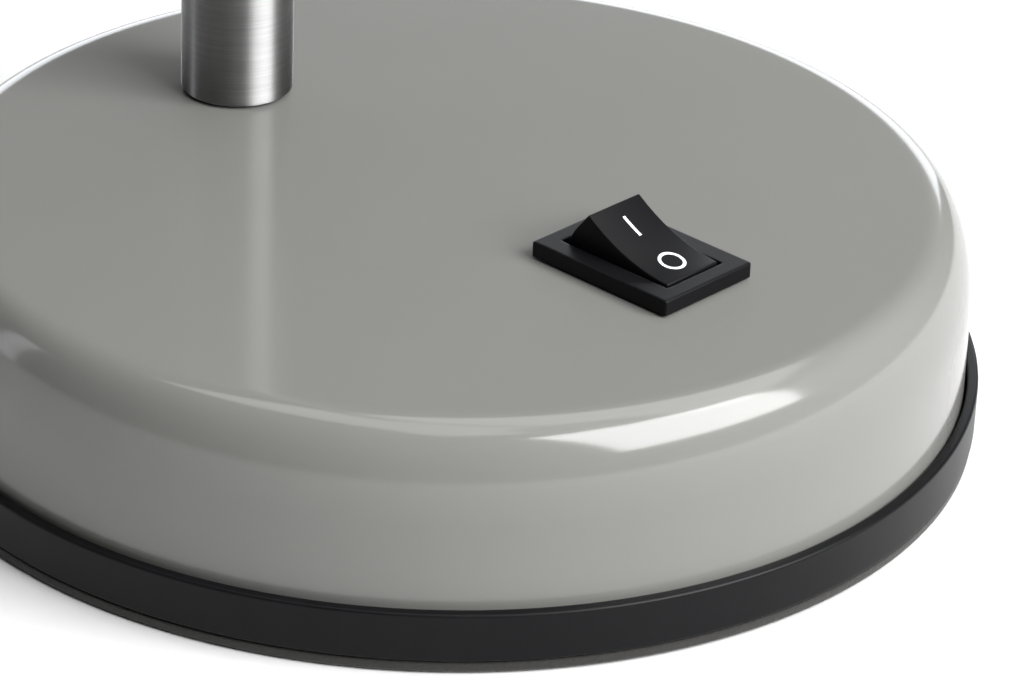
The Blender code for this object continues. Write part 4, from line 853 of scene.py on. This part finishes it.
def bolt_grid():
    """A bolt laid across: a domed head on the left with a hexagon socket, where the radius at angle a is
    socket * cos 30 / cos(a folded to within 30 degrees of a flat's middle), and a plain shank."""
    start, end = -CHEEK_OUTER - 2.5 * MM, CHEEK_OUTER + 6.65 * MM
    socket, head, shank, seat = 1.5 * MM, 4.4 * MM, 2.1 * MM, -CHEEK_OUTER - 0.3 * MM
    corners = [(socket + 0.25 * MM, start), (head, start), (head, seat), (shank, seat), (shank, end), (0, end)]
    cap = filled(rounded(corners, [0, 0.8 * MM, 0.15 * MM, 0, 0.4 * MM, 0]), 3 * MM)
    steps = 96
    a = np.arange(steps) * math.tau / steps
    hexagon = math.cos(math.pi / 6) / np.cos((a + math.pi / 6) % (math.pi / 3) - math.pi / 6)
    depth = np.array([start + 1.3 * MM, start + 1.3 * MM, start + 0.15 * MM])
    reach = np.array([0, socket, socket])
    hole = np.stack((reach[:, None] * hexagon * np.cos(a), reach[:, None] * hexagon * np.sin(a),
                     depth[:, None] + 0 * a), -1)
    return across(np.concatenate((hole, turned(cap, steps))))


def knob_grid():
    """A clamp knob laid across: flutes of even depth round its grip, which fade out at both ends, a collar at
    its cheek and a shallow dish in its face."""
    start = CHEEK_OUTER + 0.25 * MM
    end = start + 9.5 * MM
    bore_end, bore, radius = CHEEK_OUTER + 6.9 * MM, 2.35 * MM, 8.2 * MM
    corners = [(0, bore_end), (bore, bore_end), (bore, start), (5.8 * MM, start), (5.9 * MM, start + 1.9 * MM),
               (radius, start + 2.9 * MM), (radius, end), (radius - 2.4 * MM, end),
               (radius - 3.0 * MM, end - 0.45 * MM), (0, end - 0.45 * MM)]
    fillets = [0, 0, 0.3 * MM, 0.4 * MM, 0.5 * MM, 0.8 * MM, 1.0 * MM, 0.4 * MM, 0.4 * MM, 0]
    outline = filled(rounded(corners, fillets), 1.2 * MM)
    outer = np.clip((outline[:, 0] - (radius - 2.2 * MM)) / (2.0 * MM), 0, 1) ** 1.5
    return across(fluted(outline, 1.1 * MM * outer, 8))


def make_knuckle(prefix, spot, body, knob_body):
    """A knuckle's bolt with its head on the left, and its clamp knob on the right."""
    add_piece(f"{prefix}_socket_bolt", [bolt_grid()], spot, "zinc", body, f"{prefix}_bolt")
    add_piece(f"{prefix}_clamp_knob", [knob_grid()], spot, "knob", knob_body, f"{prefix}_knob", sharp=50)


# ---- head ----------------------------------------------------------------------------------------
TONGUE_DROP, CAP_THICK, SHADE_NECK = 18.0 * MM, 3.0 * MM, 17.0 * MM


def hung(node):
    """A node's top and bottom, measured up from the head's pivot."""
    return high(node).z - HEAD_AT.z, low(node).z - HEAD_AT.z


def make_tongue():
    """The head's tongue, its collar and its nipple through the shade, and the turned cap on the neck."""
    lowest = hung("head_tongue")[1]
    collar, nipple = 6.2 * MM, 4 * MM
    corners = [(0, lowest), (nipple, lowest), (nipple, -TONGUE_DROP), (collar, -TONGUE_DROP),
               (collar, -TONGUE_DROP + 2.0 * MM), (SHANK_RADIUS, -TONGUE_DROP + 2.5 * MM),
               (SHANK_RADIUS, -4 * MM), (0, -4 * MM)]
    shank = rounded(corners, [0, 0.4 * MM, 0, 0.2 * MM, 0.5 * MM, 0.5 * MM, 0, 0])
    add_piece("head_tongue_body", list(eye_grids(filled(shank, 3 * MM))), HEAD_SPOT, "bolt_steel", "head",
              "head_tongue")
    top = hung("neck_cap")[0]
    bottom = top - CAP_THICK
    corners = [(NIPPLE_BORE, bottom), (SHADE_NECK, bottom), (SHADE_NECK, bottom + 1.2 * MM),
               (SHADE_NECK - 4 * MM, top), (NIPPLE_BORE, top)]
    outline = filled(rounded(corners, [0, 0.25 * MM, 0.6 * MM, 1.5 * MM, 0], True), 2 * MM, True)
    add_piece("neck_cap_disc", [turned(outline, 160)], HEAD_SPOT, "stem_steel", "head", "neck_cap",
              closed=True)


def bell(radius_in, radius_out, height, top, steps):
    """Points down a bell: radius in + (out - in) * sin(t)^1.15 and depth height * (1 - cos t)^0.95."""
    t = np.radians(np.linspace(0, 90, steps + 1))
    return np.stack((radius_in + (radius_out - radius_in) * np.sin(t) ** 1.15,
                     top - height * (1 - np.cos(t)) ** 0.95), 1)


def make_shade():
    """The spun shade: a cylindrical neck, a bell, and a lip rolled round a small circle. Its outside is grey
    and its inside white, parted at the lip."""
    top = hung("shade")[0]
    mouth_radius, lip, wall, neck = high("shade").x, 1.1 * MM, 0.8 * MM, SHADE_NECK
    dome_top, height = top - 30 * MM, 68 * MM
    mouth = dome_top - height
    outer = bell(neck, mouth_radius - lip, height, dome_top, 56)
    inner = bell(neck - wall, mouth_radius - lip - wall, height - wall, dome_top - wall, 56)[::-1]
    roll = quarter((mouth_radius - lip, mouth), (lip, lip), 80, -90, 10)
    crest = rounded([(NIPPLE_BORE, top), (neck, top), (neck, dome_top)], [0, 1.0 * MM, 0], steps=8)
    crest = filled(crest, 4 * MM)
    bare = neck - wall
    ceiling = rounded([(bare, dome_top - wall), (bare, top - wall), (NIPPLE_BORE, top - wall)],
                      [0, 0.6 * MM, 0], steps=6)
    ceiling = filled(ceiling, 4 * MM)
    outside = np.concatenate((crest[:-1], outer[:-1], roll))
    inside = np.concatenate(([(mouth_radius - lip - wall, mouth - lip)], inner, ceiling[1:]))
    outline = np.concatenate((outside, inside))[::-1]
    piece = add_piece("bell_shade", [turned(outline, FINE_STEPS)], HEAD_SPOT, "enamel", "head", "shade",
                      closed=True)
    piece.data.materials.append(FINISHES["white"])
    sheets = piece.data.polygons
    centres, normals = np.zeros(len(sheets) * 3), np.zeros(len(sheets) * 3)
    sheets.foreach_get("center", centres)
    sheets.foreach_get("normal", normals)
    centres, normals = centres.reshape(-1, 3) - np.array(HEAD_AT), normals.reshape(-1, 3)
    outward = (centres[:, :2] * normals[:, :2]).sum(1)
    reach = np.hypot(centres[:, 0], centres[:, 1])
    white = (outward < -1e-9) | ((normals[:, 2] < -0.5) & (reach < mouth_radius - lip - wall * 0.9))
    sheets.foreach_set("material_index", white.astype(np.int32))
    return piece


def make_holder():
    """The lamp holder's ribbed cup and its knurled ring."""
    top, bottom = hung("lamp_holder")
    radius, cup, floor = 12.5 * MM, 8.4 * MM, 6 * MM
    corners = [(cup, bottom), (radius, bottom), (radius, top - 3 * MM), (radius - 2 * MM, top), (0, top)]
    outline = filled(rounded(corners, [0.3 * MM, 0.4 * MM, 1.2 * MM, 1.0 * MM, 0]), 1 * MM)
    inner = filled(np.array([(0, top - floor), (cup, top - floor), (cup, bottom)]), 4 * MM)
    whole = np.concatenate((inner[:-1], outline))
    z = whole[:, 1]
    ribs = 0.5 * MM * ((whole[:, 0] > radius - 0.1 * MM) & (z > bottom + 9.5 * MM) & (z < top - 5 * MM))
    add_piece("lamp_holder_cup", [fluted(whole, ribs, 36, 288)], HEAD_SPOT, "knob", "head", "lamp_holder",
              sharp=50)
    (top, bottom), bore, outer = hung("holder_ring"), 12.8 * MM, 15.8 * MM
    corners = [(bore, bottom), (outer, bottom), (outer, top), (bore, top)]
    outline = filled(rounded(corners, [0.3 * MM, 0.8 * MM, 0.5 * MM, 0.3 * MM], True), 0.8 * MM, True)
    grip = 0.45 * MM * (outline[:, 0] > outer - 0.3 * MM)
    add_piece("holder_grip_ring", [fluted(outline, grip, 48, 384)], HEAD_SPOT, "knob", "head", "holder_ring",
              closed=True, sharp=50)


def make_bulb():
    """The bulb: opal glass blown round with a short neck, and a cap whose screw thread leads round it once in
    each pitch, radius - depth * (1 - cos(a - tau * h / pitch)) / 2."""
    radius = (high("bulb_glass").x - low("bulb_glass").x) / 2
    neck, wall = 7.8 * MM, 0.9 * MM
    top, bottom = hung("bulb_glass")
    centre = bottom + radius
    meet = math.degrees(math.asin((neck + 2.2 * MM) / radius))
    ball = quarter((0, centre), (radius, radius), -90, 90 - meet, 60)
    knee = ball[-1][1]
    s = np.linspace(0, 1, 16)[1:, None]
    flare = np.concatenate((neck + (ball[-1][0] - neck) * (1 - s) ** 2, knee + (top - knee) * s), 1)
    outer = np.concatenate((ball, flare))
    inner = outer - [wall, 0]
    inner[:61] = quarter((0, centre), (radius - wall, radius - wall), -90, 90 - meet, 60)
    add_piece("opal_bulb", [turned(np.concatenate((outer, inner[::-1])), 128)], HEAD_SPOT, "opal", "head",
              "bulb_glass")
    (top, bottom), radius = hung("bulb_cap"), 6.9 * MM
    body = filled(rounded([(0, bottom), (radius, bottom), (radius, top - 3 * MM), (3 * MM, top), (0, top)],
                          [0, 0.2 * MM, 0.8 * MM, 0.6 * MM, 0]), 0.3 * MM)
    thread = 0.55 * MM * ((body[:, 0] > radius - 0.2 * MM) & (body[:, 1] > bottom + 2 * MM))
    grid = fluted(body, thread, 1, 96, -math.tau / (2.6 * MM))
    add_piece("bulb_screw_cap", [grid], HEAD_SPOT, "zinc", "head", "bulb_cap", sharp=60)


# ---- frame pieces that keep their shape ----------------------------------------------------------
KEPT = {
    "iron": ["ballast"],
    "zinc": ["tray_screw_1", "tray_screw_2", "tray_screw_3", "tray_screw_4", "centre_stud", "centre_nut",
             "stem_plug", "stem_nipple", "stem_washer", "stem_nut", "rocker_plunger", "swivel_spigot",
             "swivel_nut", "shade_nut"],
    "brass": ["switch_terminal_1", "switch_terminal_2", "contact_blade"],
    "nylon": ["arm_washer_left", "arm_washer_right", "head_washer_left", "head_washer_right"],
    "block": ["connector_block"],
    "brown": ["live_lead", "jumper_lead"],
    "blue": ["neutral_lead"],
}


def finish_kept_nodes():
    """Gives each fastening, lead and inner piece of the frame its finish."""
    for finish, nodes in KEPT.items():
        for node in nodes:
            frame["nodes"][node].data.materials.clear()
            frame["nodes"][node].data.materials.append(FINISHES[finish])


# ---- stage ---------------------------------------------------------------------------------------
CAMERA_AT = (-0.348395, -0.329634, 0.258714)
CAMERA_TURN = (62.2741, -2.1587, -46.5532)
CAMERA_LENS = 154.94
VIEW_AZIMUTH = 43.4        # the camera looks this far anticlockwise from +X, degrees
HORIZON_AIR = 0.08         # brightness of the surroundings at the floor's edge
HORIZON_FADE = (0.05, 0.42)    # between these heights, as the sine of the angle, it fades to the room's own


def make_camera():
    """The camera, low over the base's front left."""
    data = bpy.data.cameras.new("lamp_camera")
    data.sensor_width, data.lens = 36.0, CAMERA_LENS
    data.clip_start, data.clip_end = 0.01, 50.0
    camera = bpy.data.objects.new("lamp_camera", data)
    camera.location = CAMERA_AT
    camera.rotation_euler = tuple(math.radians(a) for a in CAMERA_TURN)
    bpy.context.scene.collection.objects.link(camera)
    bpy.context.scene.camera = camera


def softbox(name, azimuth, elevation, distance, size, brightness, tint=(1, 1, 1)):
    """An area light aimed at the base from an azimuth, clockwise from straight behind the lamp. Its power is
    brightness * pi * area, so brightness is what a mirror would show."""
    data = bpy.data.lights.new(name, "AREA")
    data.shape = "RECTANGLE"
    data.size, data.size_y = size
    data.energy = brightness * math.pi * size[0] * size[1]
    data.color = tint
    around, up = math.radians(VIEW_AZIMUTH - azimuth), math.radians(elevation)
    toward = Vector((math.cos(around) * math.cos(up), math.sin(around) * math.cos(up), math.sin(up)))
    light = bpy.data.objects.new(name, data)
    light.location = toward * distance + Vector((0, 0, 0.02))
    light.rotation_euler = (-toward).to_track_quat("-Z", "Y").to_euler()
    light.visible_camera = False
    bpy.context.scene.collection.objects.link(light)


def make_world(air):
    """Surroundings that are pale at the horizon and fade to a dim ceiling."""
    world = bpy.data.worlds.new("studio_air")
    bpy.context.scene.world = world
    world.use_nodes = True
    tree = world.node_tree
    place = tree.nodes.new("ShaderNodeTexCoord")
    part = tree.nodes.new("ShaderNodeSeparateXYZ")
    fade = tree.nodes.new("ShaderNodeMapRange")
    fade.interpolation_type = "SMOOTHSTEP"
    start, end = HORIZON_FADE
    for socket, value in (("From Min", start), ("From Max", end), ("To Min", HORIZON_AIR), ("To Max", air)):
        fade.inputs[socket].default_value = value
    tree.links.new(place.outputs["Generated"], part.inputs[0])
    tree.links.new(part.outputs["Z"], fade.inputs["Value"])
    tree.links.new(fade.outputs["Result"], tree.nodes["Background"].inputs["Strength"])
    tree.nodes["Background"].inputs["Color"].default_value = (1.0, 1.0, 1.0, 1)


def make_floor():
    """A pale matt floor that runs up into the distance."""
    mesh = bpy.data.meshes.new("studio_floor")
    reach, rows = 6.0, 9
    side = np.linspace(-reach, reach, rows)
    x, y = np.meshgrid(side, side, indexing="ij")
    points = np.stack((x, y, np.full_like(x, -0.2 * MM)), -1).reshape(-1, 3)
    i, j = np.meshgrid(np.arange(rows - 1), np.arange(rows - 1), indexing="ij")
    near, far = i * rows + j, (i + 1) * rows + j
    faces = np.stack((near, far, far + 1, near + 1), -1).reshape(-1, 4)
    mesh.from_pydata(points.tolist(), [], faces.tolist())
    paper = Finish("pale_floor_paper", specular_ior_level=0.1)
    fibre = paper.noise(paper.scaled(), 300.0, 3.0, 0.5)
    paper.feed("Base Color", paper.tint(fibre, (0.67, 0.67, 0.67), (0.69, 0.69, 0.69)))
    paper.feed("Roughness", 0.9 + fibre * 0.05)
    mesh.materials.append(paper.material)
    floor = bpy.data.objects.new("studio_floor", mesh)
    bpy.context.scene.collection.objects.link(floor)


# ---- operators -----------------------------------------------------------------------------------
class LAMP_OT_stage(bpy.types.Operator):
    """Makes the camera, the floor, the surroundings and the soft lights"""
    bl_idname = "lamp.stage"
    bl_label = "Stage and Lights"

    def execute(self, context):
        wish = context.scene.lamp_stage
        context.scene.view_settings.view_transform = "Standard"
        make_camera()
        make_world(wish.air)
        make_floor()
        softbox("key_softbox", azimuth=121, elevation=37, distance=1.30, size=(1.02, 0.92), brightness=wish.key)
        softbox("overhead_softbox", azimuth=60, elevation=78, distance=1.60, size=(1.7, 1.7),
                brightness=wish.overhead)
        softbox("back_card", azimuth=-3, elevation=10, distance=1.20, size=(1.25, 0.40),
                brightness=wish.back, tint=(0.93, 0.96, 1.0))
        softbox("left_card", azimuth=-84, elevation=12, distance=1.20, size=(0.16, 0.55),
                brightness=wish.left, tint=(0.95, 0.97, 1.0))
        return {"FINISHED"}


class LAMP_OT_finishes(bpy.types.Operator):
    """Makes every material and gives the frame's inner pieces theirs"""
    bl_idname = "lamp.finishes"
    bl_label = "Finishes"

    def execute(self, context):
        FINISHES.update(make_finishes())
        finish_kept_nodes()
        return {"FINISHED"}


class LAMP_OT_base(bpy.types.Operator):
    """Makes the enamelled cover, the black rim, the foam foot and the lead's grommet"""
    bl_idname = "lamp.base"
    bl_label = "Base"

    def execute(self, context):
        make_cover(context.scene.lamp_shapes)
        make_rim()
        make_foot_pad()
        make_grommet()
        return {"FINISHED"}


class LAMP_OT_switch(bpy.types.Operator):
    """Makes the switch's frame, its rocking paddle and the printed marks"""
    bl_idname = "lamp.switch"
    bl_label = "Rocker Switch"

    def execute(self, context):
        make_switch_housing()
        make_paddle()
        make_marks(context.scene.lamp_shapes)
        return {"FINISHED"}


class LAMP_OT_stem(bpy.types.Operator):
    """Makes the stem, its bush and the swivelling fork on it"""
    bl_idname = "lamp.stem"
    bl_label = "Stem and Swivel"

    def execute(self, context):
        make_stem()
        make_swivel()
        return {"FINISHED"}


class LAMP_OT_arm(bpy.types.Operator):
    """Makes the arm with its eye and fork, and both knuckles' bolts and knobs"""
    bl_idname = "lamp.arm"
    bl_label = "Arm and Knuckles"

    def execute(self, context):
        make_arm()
        make_knuckle("arm", Matrix.Translation(ARM_AT), "swivel", "arm_clamp")
        make_knuckle("head", HEAD_FORK_SPOT, "arm", "head_clamp")
        return {"FINISHED"}


class LAMP_OT_head(bpy.types.Operator):
    """Makes the tongue, the neck cap, the bell shade, the lamp holder and the bulb"""
    bl_idname = "lamp.head"
    bl_label = "Head and Bulb"

    def execute(self, context):
        make_tongue()
        make_shade()
        make_holder()
        make_bulb()
        return {"FINISHED"}


class LAMP_PT_panel(bpy.types.Panel):
    """Lists the lamp's finishes, sizes, lights and building steps"""
    bl_idname = "LAMP_PT_panel"
    bl_label = "Desk Lamp"
    bl_space_type = "VIEW_3D"
    bl_region_type = "UI"
    bl_category = "Desk Lamp"

    def draw(self, context):
        column = self.layout.column()
        for group in ("lamp_finishes", "lamp_shapes", "lamp_stage"):
            values = getattr(context.scene, group)
            for name in values.__annotations__:
                column.prop(values, name)
        for step in STEPS:
            column.operator(step.bl_idname)


STEPS = (LAMP_OT_finishes, LAMP_OT_base, LAMP_OT_switch, LAMP_OT_stem, LAMP_OT_arm, LAMP_OT_head, LAMP_OT_stage)
CLASSES = (LampFinishes, LampShapes, LampStage, *STEPS, LAMP_PT_panel)


def register():
    for item in CLASSES:
        bpy.utils.register_class(item)
    bpy.types.Scene.lamp_finishes = PointerProperty(type=LampFinishes)
    bpy.types.Scene.lamp_shapes = PointerProperty(type=LampShapes)
    bpy.types.Scene.lamp_stage = PointerProperty(type=LampStage)


def unregister():
    del bpy.types.Scene.lamp_finishes
    del bpy.types.Scene.lamp_shapes
    del bpy.types.Scene.lamp_stage
    for item in reversed(CLASSES):
        bpy.utils.unregister_class(item)


def main():
    """Registers the add-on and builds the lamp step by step."""
    register()
    for step in STEPS:
        group, name = step.bl_idname.split(".")
        getattr(getattr(bpy.ops, group), name)()


if __name__ == "__main__":
    main()
